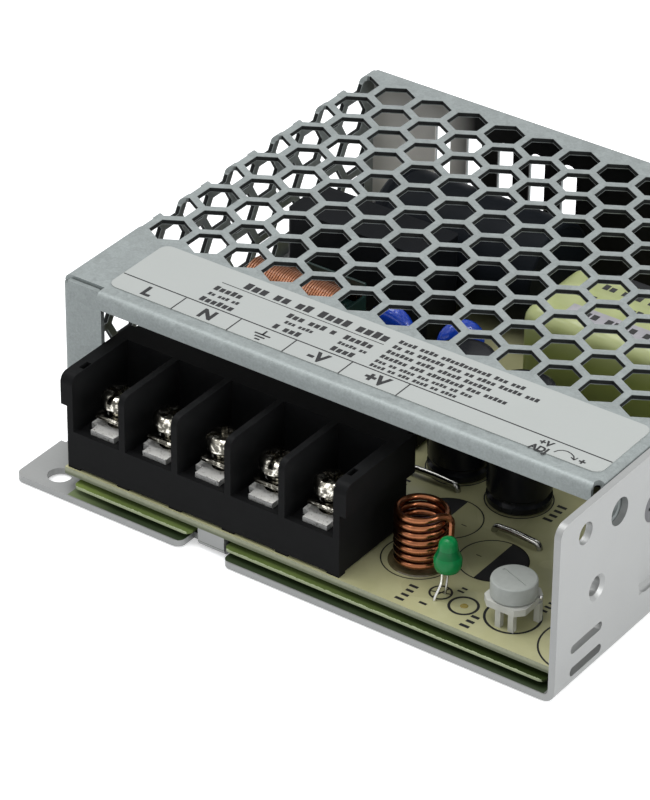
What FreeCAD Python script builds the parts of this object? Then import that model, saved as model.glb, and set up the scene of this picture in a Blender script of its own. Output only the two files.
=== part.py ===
import FreeCAD, Part
import math
import os
import re

# Enclosed switching power supply with a perforated steel cover.
# Frame: origin under the centre of the base plate, +X to the right along the
# terminal side, -Y towards the terminals, +Z up. All sizes in millimetres.

doc = FreeCAD.newDocument("MeshCasePowerSupply")
sheet = doc.addObject("Spreadsheet::Sheet", "Dimensions")

SIZES = [
    ("case_width", 97.0, "outline across the terminal side"),
    ("case_depth", 99.0, "outline from terminal side to rear"),
    ("case_height", 30.0, "outline height"),
    ("base_sheet", 1.1, "aluminium sheet of the chassis"),
    ("wall_bend", 2.0, "outer bend radius between base and side wall"),
    ("wall_height", 0.3, "top of the chassis side wall, from the top"),
    ("corner_round", 1.5, "corner rounding of the base plate"),
    ("cover_sheet", 0.8, "steel sheet of the cover"),
    ("cover_bend", 1.2, "outer bend radius of the cover"),
    ("fit_gap", 0.1, "clearance between cover and chassis"),
    ("cover_setback", 4.6, "base plate showing behind the cover"),
    ("lip_setback", 11.3, "base plate showing before the front lip"),
    ("lip_drop", 2.7, "height of the front lip"),
    ("post_setback", 12.5, "front face of the corner post behind the base edge"),
    ("post_width", 7.5, "width of the corner post"),
    ("post_top", 0.5, "top of the corner post, from the top"),
    ("flange_drop", 11.0, "depth of the cover flange inside the side wall"),
    ("hex_pitch", 7.037, "centre distance of the honeycomb holes"),
    ("hex_flats", 5.8, "hole width across flats"),
    ("hex_first_x", 8.68, "centre of a hole of the rearmost row, from the left"),
    ("hex_first_y", 11.33, "rearmost row of holes, from the rear"),
    ("hex_rows", 10, "rows of holes in the cover top"),
    ("side_rows", 12, "rows of holes in the cover side"),
    ("hex_right", 6.9, "rightmost hole centre allowed, from the right"),
    ("hex_low", 6.0, "lowest hole centre allowed in the side"),
    ("relief_r", 0.95, "corner relief hole of the cover"),
    ("slot_pitch", 6.05, "spacing of the rear ventilation slots"),
    ("slot_width", 3.0, "width of a rear ventilation slot"),
    ("slot_low", 6.0, "lower end of the rear slots"),
    ("slot_high", 5.5, "upper end of the rear slots, from the top"),
    ("slot_last_x", 38.4, "centre of the rightmost rear slot, from the left"),
    ("slot_count", 5, "number of rear slots"),
    ("foot_hole_x", 5.84, "corner mounting hole, from the left"),
    ("foot_hole_y", 3.65, "corner mounting hole, from the front"),
    ("foot_hole_r", 1.95, "corner mounting hole radius"),
    ("notch_left", 31.3, "left side of the front notch, from the left"),
    ("notch_right", 38.9, "right side of the front notch, from the left"),
    ("notch_depth", 3.5, "depth of the front notch"),
    ("tab_left", 33.1, "left side of the upturned tab, from the left"),
    ("tab_width", 4.8, "width of the upturned tab"),
    ("tab_bend", 1.2, "outer bend radius of the tab"),
    ("board_under", 3.3, "underside of the circuit board"),
    ("board_sheet", 1.2, "thickness of the circuit board"),
    ("board_setback", 2.0, "front edge of the board behind the base edge"),
    ("board_rear", 6.3, "rear edge of the board, from the rear"),
    ("board_left", 2.3, "left edge of the board, from the left"),
    ("board_right", 1.4, "right edge of the board, from the right"),
    ("board_notch_x", 8.2, "board cut away left of this at the front, from the left"),
    ("board_notch_y", 17.5, "board cut away before this at the left, from the front"),
    ("film_sheet", 0.35, "thickness of the insulating film"),
    ("film_under", 2.0, "underside of the insulating film"),
    ("film_setback", 1.1, "front edge of the film behind the base edge"),
    ("film_right", 2.5, "right edge of the film, from the right"),
    ("film_rear_left", 2.7, "left edge of the film behind the tongue, from the left"),
    ("film_rear_y", 7.5, "rear edge of the film, from the rear"),
    ("post_left_x", 8.5, "left board post, from the left"),
    ("post_right_x", 7.5, "right board post, from the right"),
    ("post_y", 11.5, "board posts, from the rear"),
    ("film_left", 10.3, "left edge of the film tongue, from the left"),
    ("film_gap_left", 32.1, "film notch around the tab, from the left"),
    ("film_gap_right", 38.4, "film notch around the tab, from the left"),
    ("lock_y", 8.0, "centre of the pressed board supports, from the front"),
    ("lock_length", 8.2, "length of the pressed support slots"),
    ("lock_high_z", 7.0, "centre of the upper support slot"),
    ("lock_low_z", 3.1, "centre of the lower support slot"),
    ("lock_slot", 1.5, "height of a support slot"),
    ("wall_hole_y", 6.5, "small round hole in the side wall, from the front"),
    ("wall_hole_z", 4.4, "small round hole in the side wall, from the top"),
    ("wall_hole_r", 1.75, "small round hole radius"),
    ("latch_y", 15.4, "larger hole in the side wall, from the front"),
    ("latch_z", 5.6, "larger hole in the side wall, from the top"),
    ("latch_r", 2.2, "larger hole radius"),
    ("tap_y", 10.2, "threaded hole in the side wall, from the front"),
    ("tap_z", 14.4, "threaded hole in the side wall"),
    ("tap_r", 1.5, "threaded hole radius"),
    ("tap_deep", 2.2, "depth of the drawn threaded hole"),
    ("panel_y", 21.7, "front end of the pressed wall panel, from the front"),
    ("panel_length", 52.0, "length of the pressed wall panel"),
    ("panel_low", 6.0, "bottom of the pressed wall panel"),
    ("panel_high", 3.2, "top of the pressed wall panel, from the top"),
    ("panel_press", 0.35, "depth of the pressed wall panel"),
    ("panel_corner", 2.4, "corner radius of the pressed wall panel"),
    ("step_high", 11.6, "top of the deeper strip along the panel bottom"),
    ("step_press", 0.4, "extra depth of the strip"),
    ("block_left", 8.65, "left end of the terminal block, from the left"),
    ("bay_pitch", 9.72, "spacing of the terminal bays"),
    ("bay_count", 5, "number of terminal bays"),
    ("bay_wall", 1.12, "thickness of the walls between bays"),
    ("block_setback", 2.3, "front face of the block behind the base edge"),
    ("block_length", 17.0, "depth of the lower block body"),
    ("block_top", 20.6, "top of the terminal block"),
    ("block_foot", 0.4, "height of the block feet"),
    ("wing_out", 1.1, "extra width of the block above its step"),
    ("wing_low", 15.3, "height of the block step"),
    ("wing_rear", 2.2, "extra depth of the block above its rear step"),
    ("wing_rear_low", 12.6, "height of the rear step"),
    ("sill_top", 11.1, "front sill of the terminal bays"),
    ("bay_floor", 10.6, "floor of the terminal bays"),
    ("bay_deep", 13.4, "depth of the terminal bays"),
    ("block_bevel", 1.5, "bevel at the front top of the walls"),
    ("plate_sheet", 0.9, "thickness of the terminal plates"),
    ("plate_width", 6.6, "width of the terminal plates"),
    ("tongue_width", 4.3, "width of the front tongue of the plates"),
    ("plate_front", 1.5, "plate tongue behind the block face"),
    ("screw_setback", 8.3, "screw axis behind the base edge"),
    ("screw_head_r", 2.9, "terminal screw head radius"),
    ("screw_head_h", 2.1, "terminal screw head height"),
    ("screw_rest", 14.7, "underside of the backed out screw head"),
    ("thread_r", 1.75, "terminal screw thread radius"),
    ("thread_length", 8.2, "terminal screw thread length"),
    ("washer_half", 2.75, "half width of the square clamp washer"),
    ("washer_sheet", 0.8, "thickness of the clamp washer"),
    ("washer_rest", 12.5, "underside of the clamp washer"),
    ("coil_x", 64.8, "output coil position, from the left"),
    ("coil_y", 13.35, "output coil position, from the front"),
    ("coil_r", 3.75, "output coil mean radius"),
    ("coil_wire", 0.52, "output coil wire radius"),
    ("coil_pitch", 1.32, "output coil pitch"),
    ("coil_turns", 6.3, "output coil turns"),
    ("led_x", 72.9, "lamp position, from the left"),
    ("led_y", 8.2, "lamp position, from the front"),
    ("led_low", 8.8, "underside of the lamp"),
    ("led_r", 2.1, "lamp base radius"),
    ("dome_r", 1.45, "lamp dome radius"),
    ("trim_x", 35.5, "trimmer position"),
    ("trim_y", 9.1, "trimmer position, from the front"),
    ("trim_half", 3.5, "half width of the trimmer plate"),
    ("trim_plate_z", 7.4, "underside of the trimmer plate"),
    ("trim_plate", 1.1, "thickness of the trimmer plate"),
    ("knob_r", 3.45, "trimmer knob radius"),
    ("knob_h", 2.9, "trimmer knob height"),
    ("cap_r", 5.0, "output capacitor radius"),
    ("cap_h", 20.0, "output capacitor height"),
    ("cap_a_x", 7.75, "first output capacitor"),
    ("cap_a_y", -12.7, "first output capacitor"),
    ("cap_b_x", 19.7, "second output capacitor"),
    ("cap_b_y", -14.7, "second output capacitor"),
    ("bulk_r", 9.0, "input capacitor radius"),
    ("bulk_length", 31.0, "input capacitor length"),
    ("bulk_x", 15.0, "left end of the input capacitor, from the left"),
    ("bulk_y", 19.7, "input capacitor axis, from the rear"),
    ("device_y", 25.7, "power device screwed to the side wall, from the front"),
    ("device_rear_y", 12.0, "second power device on the side wall"),
    ("film_cap_x", 7.0, "left end of the film capacitor, from the left"),
    ("film_cap_length", 26.5, "film capacitor length"),
    ("choke_x", 19.3, "middle of the twin choke, from the left"),
    ("fuse_x", 9.5, "left end of the input fuse, from the left"),
    ("device_top", 23.6, "top of the power devices"),
    ("fuse_y", 27.5, "input fuse, from the front"),
    ("bridge_y", 24.5, "front of the bridge rectifier, from the front"),
    ("device_z", 19.6, "screw height of the power devices"),
    ("cover_screw_z", 4.0, "height of the screws in the left side"),
    ("label_left", 7.3, "left edge of the label, from the left"),
    ("label_right", 3.0, "right edge of the label, from the right"),
    ("label_front", 14.3, "front edge of the label, from the front"),
    ("label_rear", 28.7, "rear edge of the label, from the front"),
    ("label_sheet", 0.15, "label thickness"),
    ("label_round", 1.6, "label corner radius"),
]

# Places given as a distance inwards from one side of the case.
FROM_SIDE = {
    "left": (
        "board_left",
        "foot_hole_x",
        "notch_left",
        "notch_right",
        "tab_left",
        "film_gap_left",
        "film_gap_right",
        "board_notch_x",
        "film_left",
        "block_left",
        "coil_x",
        "led_x",
        "label_left",
        "hex_first_x",
        "slot_last_x",
        "film_rear_left",
        "post_left_x",
        "bulk_x",
        "film_cap_x",
        "choke_x",
        "fuse_x",
    ),
    "right": (
        "board_right",
        "label_right",
        "hex_right",
        "film_right",
        "post_right_x",
    ),
    "front": (
        "foot_hole_y",
        "board_notch_y",
        "lock_y",
        "wall_hole_y",
        "latch_y",
        "tap_y",
        "panel_y",
        "coil_y",
        "led_y",
        "trim_y",
        "label_front",
        "label_rear",
        "device_y",
        "fuse_y",
        "bridge_y",
    ),
    "rear": (
        "board_rear",
        "hex_first_y",
        "film_rear_y",
        "post_y",
        "bulk_y",
    ),
    "top": (
        "wall_height",
        "post_top",
        "wall_hole_z",
        "latch_z",
        "panel_high",
        "slot_high",
    ),
}
SIDES = {
    "left": ("-case_width/2+", -0.5, "case_width", 1),
    "right": ("case_width/2-", 0.5, "case_width", -1),
    "front": ("-case_depth/2+", -0.5, "case_depth", 1),
    "rear": ("case_depth/2-", 0.5, "case_depth", -1),
    "top": ("case_height-", 1.0, "case_height", -1),
}

V = {}
for row, (alias, value, note) in enumerate(SIZES, start=1):
    sheet.set("A%d" % row, alias)
    sheet.set("B%d" % row, str(value))
    sheet.set("C%d" % row, note)
    sheet.setAlias("B%d" % row, alias)
    V[alias] = float(value)
doc.recompute()

SIDE_OF = {}
for side, aliases in FROM_SIDE.items():
    start, share, size, inward = SIDES[side]
    for alias in aliases:
        SIDE_OF[alias] = start
        V[alias] = share * V[size] + inward * V[alias]

NAME = re.compile(r"[a-z][a-z_0-9]*")
AXES = {
    "x": FreeCAD.Rotation(FreeCAD.Vector(0, 1, 0), 90),
    "y": FreeCAD.Rotation(FreeCAD.Vector(1, 0, 0), -90),
    "z": FreeCAD.Rotation(),
}
nodes = []


def spelled(found):
    """Sheet reference of one name; a place counts from its side."""
    name = found.group(0)
    if name not in SIDE_OF:
        return "Dimensions." + name
    return "(" + NAME.sub(r"Dimensions.\g<0>", SIDE_OF[name] + name) + ")"


def tied(expression):
    return NAME.sub(spelled, str(expression))


def place(obj, at, turn=None):
    if turn is not None:
        obj.Placement = FreeCAD.Placement(FreeCAD.Vector(0, 0, 0), turn)
    for axis, expression in zip("xyz", at):
        obj.setExpression("Placement.Base." + axis, tied(expression))
    return obj


def box(label, size, at):
    obj = doc.addObject("Part::Box", "Box")
    obj.Label = label
    for prop, expression in zip(("Length", "Width", "Height"), size):
        obj.setExpression(prop, tied(expression))
    return place(obj, at)


def rod(label, radius, length, at, axis="z"):
    obj = doc.addObject("Part::Cylinder", "Rod")
    obj.Label = label
    obj.setExpression("Radius", tied(radius))
    obj.setExpression("Height", tied(length))
    return place(obj, at, AXES[axis])


def cone(label, radius_a, radius_b, length, at, axis="z"):
    obj = doc.addObject("Part::Cone", "Cone")
    obj.Label = label
    obj.setExpression("Radius1", tied(radius_a))
    obj.setExpression("Radius2", tied(radius_b))
    obj.setExpression("Height", tied(length))
    return place(obj, at, AXES[axis])


def fuse(label, pieces):
    obj = doc.addObject("Part::MultiFuse", "Fuse")
    obj.Label = label
    obj.Shapes = pieces
    obj.Refine = True
    return obj


def cut(label, base, tools):
    tool = tools[0]
    if len(tools) > 1:
        tool = fuse(label + "_cutters", tools)
        tool.Refine = False
    obj = doc.addObject("Part::Cut", "Cut")
    obj.Label = label
    obj.Base = base
    obj.Tool = tool
    return obj


def quarter(label, outer, inner, length, at, start, finish):
    """Quarter ring of a bend, from direction start to direction finish."""
    start = FreeCAD.Vector(*start)
    finish = FreeCAD.Vector(*finish)
    turn = FreeCAD.Rotation(start, finish, start.cross(finish), "XYZ")
    rods = []
    for suffix, radius in (("_outer", outer), ("_inner", inner)):
        obj = doc.addObject("Part::Cylinder", "Bend")
        obj.Label = label + suffix
        obj.setExpression("Radius", tied(radius))
        obj.setExpression("Height", tied(length))
        obj.Angle = 90
        rods.append(place(obj, at, turn))
    return cut(label, rods[0], [rods[1]])


def soften(label, obj, radius, along, wanted, kind="Part::Fillet"):
    """Round or bevel the edges running along one axis where wanted(point)."""
    doc.recompute()
    chosen = []
    for number, edge in enumerate(obj.Shape.Edges, start=1):
        ends = [vertex.Point for vertex in edge.Vertexes]
        if len(ends) != 2:
            continue
        others = [axis for axis in "xyz" if axis != along]
        if any(not near(getattr(ends[0], o), getattr(ends[1], o)) for o in others):
            continue
        if wanted(ends[0]) and wanted(ends[1]):
            chosen.append((number, radius, radius))
    if not chosen:
        raise RuntimeError("no edge to soften: " + label)
    result = doc.addObject(kind, "Soft")
    result.Label = label
    result.Base = obj
    result.Edges = chosen
    return result


def near(value, target):
    return abs(value - target) < 0.01


def computed(label, shape):
    obj = doc.addObject("Part::Feature", "Computed")
    obj.Label = label
    obj.Shape = shape
    return obj


def node(obj, name):
    obj.Label = name
    nodes.append(obj)
    return obj


half_w = V["case_width"] / 2
half_d = V["case_depth"] / 2
board_top = V["board_under"] + V["board_sheet"]

# Chassis: base plate, bend and right side wall folded from one sheet.
base = box(
    "base_blank",
    ("case_width-wall_bend", "case_depth", "base_sheet"),
    ("-case_width/2", "-case_depth/2", 0),
)
base = soften(
    "base_rounded",
    base,
    V["corner_round"],
    "z",
    lambda p: near(p.x, -half_w),
)
wall_length = "case_depth"
bend = quarter(
    "chassis_bend",
    "wall_bend",
    "wall_bend-base_sheet",
    wall_length,
    ("case_width/2-wall_bend", "-case_depth/2", "wall_bend"),
    (1, 0, 0),
    (0, 0, -1),
)
wall = box(
    "wall_blank",
    ("base_sheet", wall_length, "wall_height-wall_bend"),
    ("case_width/2-base_sheet", "-case_depth/2", "wall_bend"),
)
wall = soften(
    "wall_rounded",
    wall,
    V["wall_bend"],
    "x",
    lambda p: near(p.z, V["wall_height"]) and near(abs(p.y), half_d),
)
upstand = box(
    "left_upstand",
    ("base_sheet", "case_depth-lip_setback-cover_setback-12", 7),
    (
        "-case_width/2+cover_sheet+fit_gap",
        "-case_depth/2+lip_setback+8",
        0,
    ),
)
collar = rod(
    "threaded_collar",
    "tap_r+0.6",
    "tap_deep-base_sheet",
    ("case_width/2-tap_deep", "tap_y", "tap_z"),
    "x",
)
tab_wall = box(
    "tab_wall",
    ("tab_width", "base_sheet", "board_under-tab_bend"),
    (
        "tab_left",
        "-case_depth/2+board_setback",
        "tab_bend",
    ),
)
tab_bend = quarter(
    "tab_bend",
    "tab_bend",
    "tab_bend-base_sheet",
    "tab_width",
    ("tab_left", "-case_depth/2+board_setback+tab_bend", "tab_bend"),
    (0, -1, 0),
    (0, 0, -1),
)
tab_root = box(
    "tab_root",
    ("tab_width", "notch_depth-board_setback-tab_bend+1", "base_sheet"),
    (
        "tab_left",
        "-case_depth/2+board_setback+tab_bend",
        0,
    ),
)
notch = box(
    "front_notch",
    ("notch_right-notch_left", "notch_depth", 4),
    ("notch_left", "-case_depth/2", -1),
)
base = cut("base_notched", base, [notch])
base = soften(
    "base_notch_rounded",
    base,
    V["corner_round"] * 0.9,
    "z",
    lambda p: near(p.y, -half_d)
    and (near(p.x, V["notch_left"]) or near(p.x, V["notch_right"])),
)
supports = []
openings = []
for side, centre in (("upper", "lock_high_z"), ("lower", "lock_low_z")):
    shelf_z = "board_under-0.9"
    if side == "upper":
        shelf_z = "board_under+board_sheet+0.15"
    supports.append(
        box(
            side + "_support",
            (1.0, "lock_length+1.6", "0.9" if side == "lower" else "1.9"),
            (
                "case_width/2-base_sheet-1.0",
                "lock_y-lock_length/2-0.8",
                shelf_z,
            ),
        )
    )
    openings.append(
        box(
            side + "_slot",
            (2.4, "lock_length-lock_slot", "lock_slot"),
            (
                "case_width/2-base_sheet-0.2",
                "lock_y-lock_length/2+lock_slot/2",
                centre + "-lock_slot/2",
            ),
        )
    )
    for end, sign in (("front", "-"), ("rear", "+")):
        offset = "lock_y" + sign + "lock_length/2" + (
            "-lock_slot/2" if sign == "+" else "+lock_slot/2"
        )
        openings.append(
            rod(
                side + "_slot_" + end,
                "lock_slot/2",
                2.4,
                ("case_width/2-base_sheet-0.2", offset, centre),
                "x",
            )
        )
openings.append(
    rod(
        "wall_hole",
        "wall_hole_r",
        "base_sheet+2",
        ("case_width/2-base_sheet-1", "wall_hole_y", "wall_hole_z"),
        "x",
    )
)
openings.append(
    rod(
        "latch_hole",
        "latch_r",
        "base_sheet+2",
        ("case_width/2-base_sheet-1", "latch_y", "latch_z"),
        "x",
    )
)
openings.append(
    rod(
        "tap_bore",
        "tap_r",
        "tap_deep+2",
        ("case_width/2-tap_deep-1", "tap_y", "tap_z"),
        "x",
    )
)
openings.append(
    cone(
        "tap_mouth",
        "tap_r",
        "tap_r+0.6",
        0.5,
        ("case_width/2-0.5", "tap_y", "tap_z"),
        "x",
    )
)
openings.append(
    rod(
        "foot_hole",
        "foot_hole_r",
        "base_sheet+2",
        ("foot_hole_x", "foot_hole_y", -1),
    )
)
panel_pocket = box(
    "panel_pocket_blank",
    ("panel_press+1", "panel_length", "panel_high-panel_low"),
    (
        "case_width/2-panel_press",
        "panel_y",
        "panel_low",
    ),
)
panel_pocket = soften(
    "panel_pocket",
    panel_pocket,
    V["panel_corner"],
    "x",
    lambda p: True,
)
openings.append(panel_pocket)
step_pocket = box(
    "step_pocket_blank",
    (
        "panel_press+step_press+1",
        "panel_length-0.6",
        "step_high-panel_low-0.3",
    ),
    (
        "case_width/2-panel_press-step_press",
        "panel_y+0.3",
        "panel_low+0.3",
    ),
)
for along in "yz":
    step_pocket = soften(
        "step_pocket_" + along,
        step_pocket,
        0.7,
        along,
        lambda p: p.x < half_w,
        "Part::Chamfer",
    )
openings.append(step_pocket)
for y in ("device_y", "device_rear_y"):
    openings.append(
        rod(
            "device_hole",
            1.6,
            "base_sheet+2",
            ("case_width/2-base_sheet-1", y, "device_z"),
            "x",
        )
    )
    openings.append(
        cone(
            "device_countersink",
            1.6,
            2.75,
            "base_sheet-panel_press",
            ("case_width/2-base_sheet", y, "device_z"),
            "x",
        )
    )
COVER_SCREWS = (-22.0, 30.0)
for y in COVER_SCREWS:
    openings.append(
        rod(
            "cover_screw_hole",
            1.35,
            4,
            ("-case_width/2", y, "cover_screw_z"),
            "x",
        )
    )
relief = box(
    "cover_relief",
    (
        "cover_sheet+fit_gap",
        "case_depth-lip_setback-cover_setback+0.3",
        4,
    ),
    ("-case_width/2", "-case_depth/2+lip_setback", -1),
)
openings.append(relief)
chassis_blank = fuse(
    "chassis_blank",
    [base, bend, wall, upstand, collar, tab_wall, tab_bend, tab_root]
    + supports,
)
node(cut("chassis_cut", chassis_blank, openings), "chassis")

# Cover: top, left side, rear wall, front lip, corner post and inner flange
# folded from one perforated steel sheet.
cover_rear = "case_depth/2-cover_setback"
lip_face = "-case_depth/2+lip_setback"
post_face = "-case_depth/2+post_setback"
right_face = "case_width/2-base_sheet-fit_gap"
top_under = "case_height-cover_sheet"
bend_z = "case_height-cover_bend"
left_line = "-case_width/2+cover_bend"
post_side = "-case_width/2+post_width"
side_low = "0.3"
top_main = box(
    "top_main",
    (
        right_face + "-cover_bend+case_width/2-post_width",
        "case_depth-cover_setback-lip_setback-2*cover_bend",
        "cover_sheet",
    ),
    (post_side, lip_face + "+cover_bend", top_under),
)
top_corner = box(
    "top_corner",
    (
        "post_width-cover_bend+1",
        "case_depth-cover_setback-post_setback-cover_sheet-0.15-cover_bend",
        "cover_sheet",
    ),
    (left_line, post_face + "+cover_sheet+0.15", top_under),
)
left_bend = quarter(
    "left_bend",
    "cover_bend",
    "cover_bend-cover_sheet",
    "case_depth-cover_setback-post_setback-cover_sheet-0.15-cover_bend",
    (left_line, post_face + "+cover_sheet+0.15", bend_z),
    (-1, 0, 0),
    (0, 0, 1),
)
left_wall = box(
    "left_wall",
    (
        "cover_sheet",
        "case_depth-cover_setback-post_setback-2*cover_bend",
        bend_z + "-" + side_low,
    ),
    ("-case_width/2", post_face + "+cover_bend", side_low),
)
post_bend = quarter(
    "post_bend",
    "cover_bend",
    "cover_bend-cover_sheet",
    bend_z + "-base_sheet-0.2",
    (left_line, post_face + "+cover_bend", "base_sheet+0.1"),
    (-1, 0, 0),
    (0, -1, 0),
)
post = box(
    "post_blank",
    ("post_width-cover_bend-0.1", "cover_sheet", "post_top-base_sheet-0.1"),
    (left_line, post_face, "base_sheet+0.1"),
)
post = soften(
    "post_rounded",
    post,
    0.9,
    "y",
    lambda p: near(p.z, V["post_top"]) and near(p.x, V["post_width"] - half_w - 0.1),
)
rear_bend = quarter(
    "rear_bend",
    "cover_bend",
    "cover_bend-cover_sheet",
    "case_width-base_sheet-fit_gap-2*cover_bend",
    (left_line, cover_rear + "-cover_bend", bend_z),
    (0, 1, 0),
    (0, 0, 1),
)
rear_wall = box(
    "rear_wall",
    (
        "case_width-base_sheet-fit_gap-cover_bend-0.1",
        "cover_sheet",
        bend_z + "-base_sheet-0.1",
    ),
    ("-case_width/2+0.1", cover_rear + "-cover_sheet", "base_sheet+0.1"),
)
right_bend = quarter(
    "right_bend",
    "cover_bend",
    "cover_bend-cover_sheet",
    "case_depth-cover_setback-lip_setback-2*cover_bend",
    (right_face + "-cover_bend", lip_face + "+cover_bend", bend_z),
    (0, 0, 1),
    (1, 0, 0),
)
right_flange = box(
    "right_flange",
    (
        "cover_sheet",
        "case_depth-cover_setback-lip_setback-2*cover_bend",
        "flange_drop-cover_bend",
    ),
    (
        right_face + "-cover_sheet",
        lip_face + "+cover_bend",
        "case_height-flange_drop",
    ),
)
lip_bend = quarter(
    "lip_bend",
    "cover_bend",
    "cover_bend-cover_sheet",
    "case_width-base_sheet-fit_gap-cover_bend-post_width",
    (post_side, lip_face + "+cover_bend", bend_z),
    (0, 0, 1),
    (0, -1, 0),
)
lip = box(
    "front_lip",
    (
        "case_width-base_sheet-fit_gap-cover_bend-post_width",
        "cover_sheet",
        "lip_drop-cover_bend",
    ),
    (post_side, lip_face, "case_height-lip_drop"),
)
cover_blank = fuse(
    "cover_blank",
    [
        top_main,
        top_corner,
        left_bend,
        left_wall,
        post_bend,
        post,
        rear_bend,
        rear_wall,
        right_bend,
        right_flange,
        lip_bend,
        lip,
    ],
)

# Honeycomb of the cover, laid out on the unfolded sheet and carried round the
# left bend without a break.
mid_r = V["cover_bend"] - V["cover_sheet"] / 2
arc = mid_r * math.pi / 2
bend_x = V["cover_bend"] - half_w
fold_z = V["case_height"] - V["cover_bend"]
side_point = V["hex_flats"] / math.sqrt(3)
row_step = V["hex_pitch"] * math.sqrt(3) / 2


def clip(points, keep_below, limit):
    """Part of a flat outline on one side of the line u = limit."""
    kept = []
    for index, here in enumerate(points):
        there = points[(index + 1) % len(points)]
        inside = (here[0] <= limit) == keep_below
        beyond = (there[0] <= limit) == keep_below
        if inside:
            kept.append(here)
        if inside != beyond:
            share = (limit - here[0]) / (there[0] - here[0])
            kept.append((limit, here[1] + share * (there[1] - here[1])))
    return kept


def prism(corners, direction):
    wire = Part.makePolygon(corners + [corners[0]])
    return Part.Face(wire).extrude(direction)


def hole_tools(centre_u, centre_y):
    outline = []
    for step in range(6):
        angle = math.radians(30 + 60 * step)
        outline.append(
            (
                centre_u + side_point * math.cos(angle),
                centre_y + side_point * math.sin(angle),
            )
        )
    tools = []
    flat = clip(outline, False, bend_x)
    if len(flat) > 2:
        corners = [FreeCAD.Vector(u, y, fold_z) for u, y in flat]
        tools.append(prism(corners, FreeCAD.Vector(0, 0, 3)))
    rest = clip(outline, True, bend_x)
    band = clip(rest, False, bend_x - arc) if len(rest) > 2 else []
    if len(band) > 2:
        corners = []
        for u, y in band:
            share = (bend_x - u) / arc
            across = V["cover_bend"] * (0.5 - share)
            corners.append(FreeCAD.Vector(bend_x + across, y, fold_z + across))
        wedge = prism(corners, FreeCAD.Vector(-3, 0, 3))
        corner_room = Part.makeBox(
            4, 20, 4, FreeCAD.Vector(bend_x - 4, centre_y - 10, fold_z)
        )
        tools.append(wedge.common(corner_room))
    side = clip(rest, True, bend_x - arc) if len(rest) > 2 else []
    if len(side) > 2:
        corners = []
        for u, y in side:
            corners.append(
                FreeCAD.Vector(-half_w - 1, y, fold_z + (u - bend_x + arc))
            )
        tools.append(prism(corners, FreeCAD.Vector(V["cover_sheet"] + 2, 0, 0)))
    return tools


hex_tools = []
for line in range(int(V["side_rows"])):
    row_y = V["hex_first_y"] - line * row_step
    on_top = line < int(V["hex_rows"])
    shift = V["hex_pitch"] / 2 if line % 2 else 0.0
    for step in range(-8, 20):
        centre_u = V["hex_first_x"] + shift + step * V["hex_pitch"]
        drop = bend_x - arc - centre_u
        if fold_z - drop < V["hex_low"] or centre_u > V["hex_right"]:
            continue
        if not on_top and drop < V["hex_flats"] / 2 + 0.5:
            continue
        low = fold_z - drop < V["cover_screw_z"] + V["hex_flats"]
        if low and any(abs(row_y - y) < V["hex_pitch"] for y in COVER_SCREWS):
            continue
        hex_tools.extend(hole_tools(centre_u, row_y))
honeycomb = computed("honeycomb_cutters", Part.makeCompound(hex_tools))

slot_tools = []
for index in range(int(V["slot_count"])):
    x = "slot_last_x-%d*slot_pitch" % index
    slot_tools.append(
        box(
            "rear_slot",
            ("slot_width", "cover_sheet+2", "slot_high-slot_low-slot_width"),
            (
                x + "-slot_width/2",
                cover_rear + "-cover_sheet-1",
                "slot_low+slot_width/2",
            ),
        )
    )
    for level in ("slot_low+slot_width/2", "slot_high-slot_width/2"):
        slot_tools.append(
            rod(
                "rear_slot_end",
                "slot_width/2",
                "cover_sheet+2",
                (x, cover_rear + "-cover_sheet-1", level),
                "y",
            )
        )
relief_hole = rod(
    "corner_relief",
    "relief_r",
    "lip_drop+1",
    (right_face + "-0.4", lip_face + "+cover_bend-0.1", "case_height-lip_drop"),
)
flange_hole = rod(
    "flange_hole",
    "latch_r-0.7",
    "cover_sheet+2",
    (right_face + "-cover_sheet-1", "latch_y", "latch_z"),
    "x",
)
for y in COVER_SCREWS:
    slot_tools.append(
        cone(
            "cover_countersink",
            2.35,
            1.5,
            "cover_sheet",
            ("-case_width/2", y, "cover_screw_z"),
            "x",
        )
    )
for y in ("device_y", "device_rear_y"):
    slot_tools.append(
        box(
            "device_notch",
            (
                "cover_sheet+1",
                12,
                "device_top+1.4-case_height+flange_drop+1",
            ),
            (
                right_face + "-cover_sheet-0.5",
                y + "-6",
                "case_height-flange_drop-1",
            ),
        )
    )
node(
    cut("cover_cut", cover_blank, [honeycomb, relief_hole, flange_hole] + slot_tools),
    "mesh_cover",
)

# Circuit board with its front corner cut away round the post and foot hole.
board = box(
    "board_blank",
    (
        "board_right-board_left",
        "board_rear+case_depth/2-board_setback",
        "board_sheet",
    ),
    ("board_left", "-case_depth/2+board_setback", "board_under"),
)
board_cutters = [
    box(
        "board_corner_cut",
        ("board_notch_x-board_left+1", "board_notch_y+case_depth/2", 5),
        ("board_left-1", "-case_depth/2", "board_under-2"),
    )
]
POSTS = (("post_left_x", "post_y"), ("post_right_x", "post_y"))
for x, y in POSTS:
    board_cutters.append(rod("board_screw_hole", 1.8, 5, (x, y, "board_under-2")))
node(cut("board_cut", board, board_cutters), "circuit_board")

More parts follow.
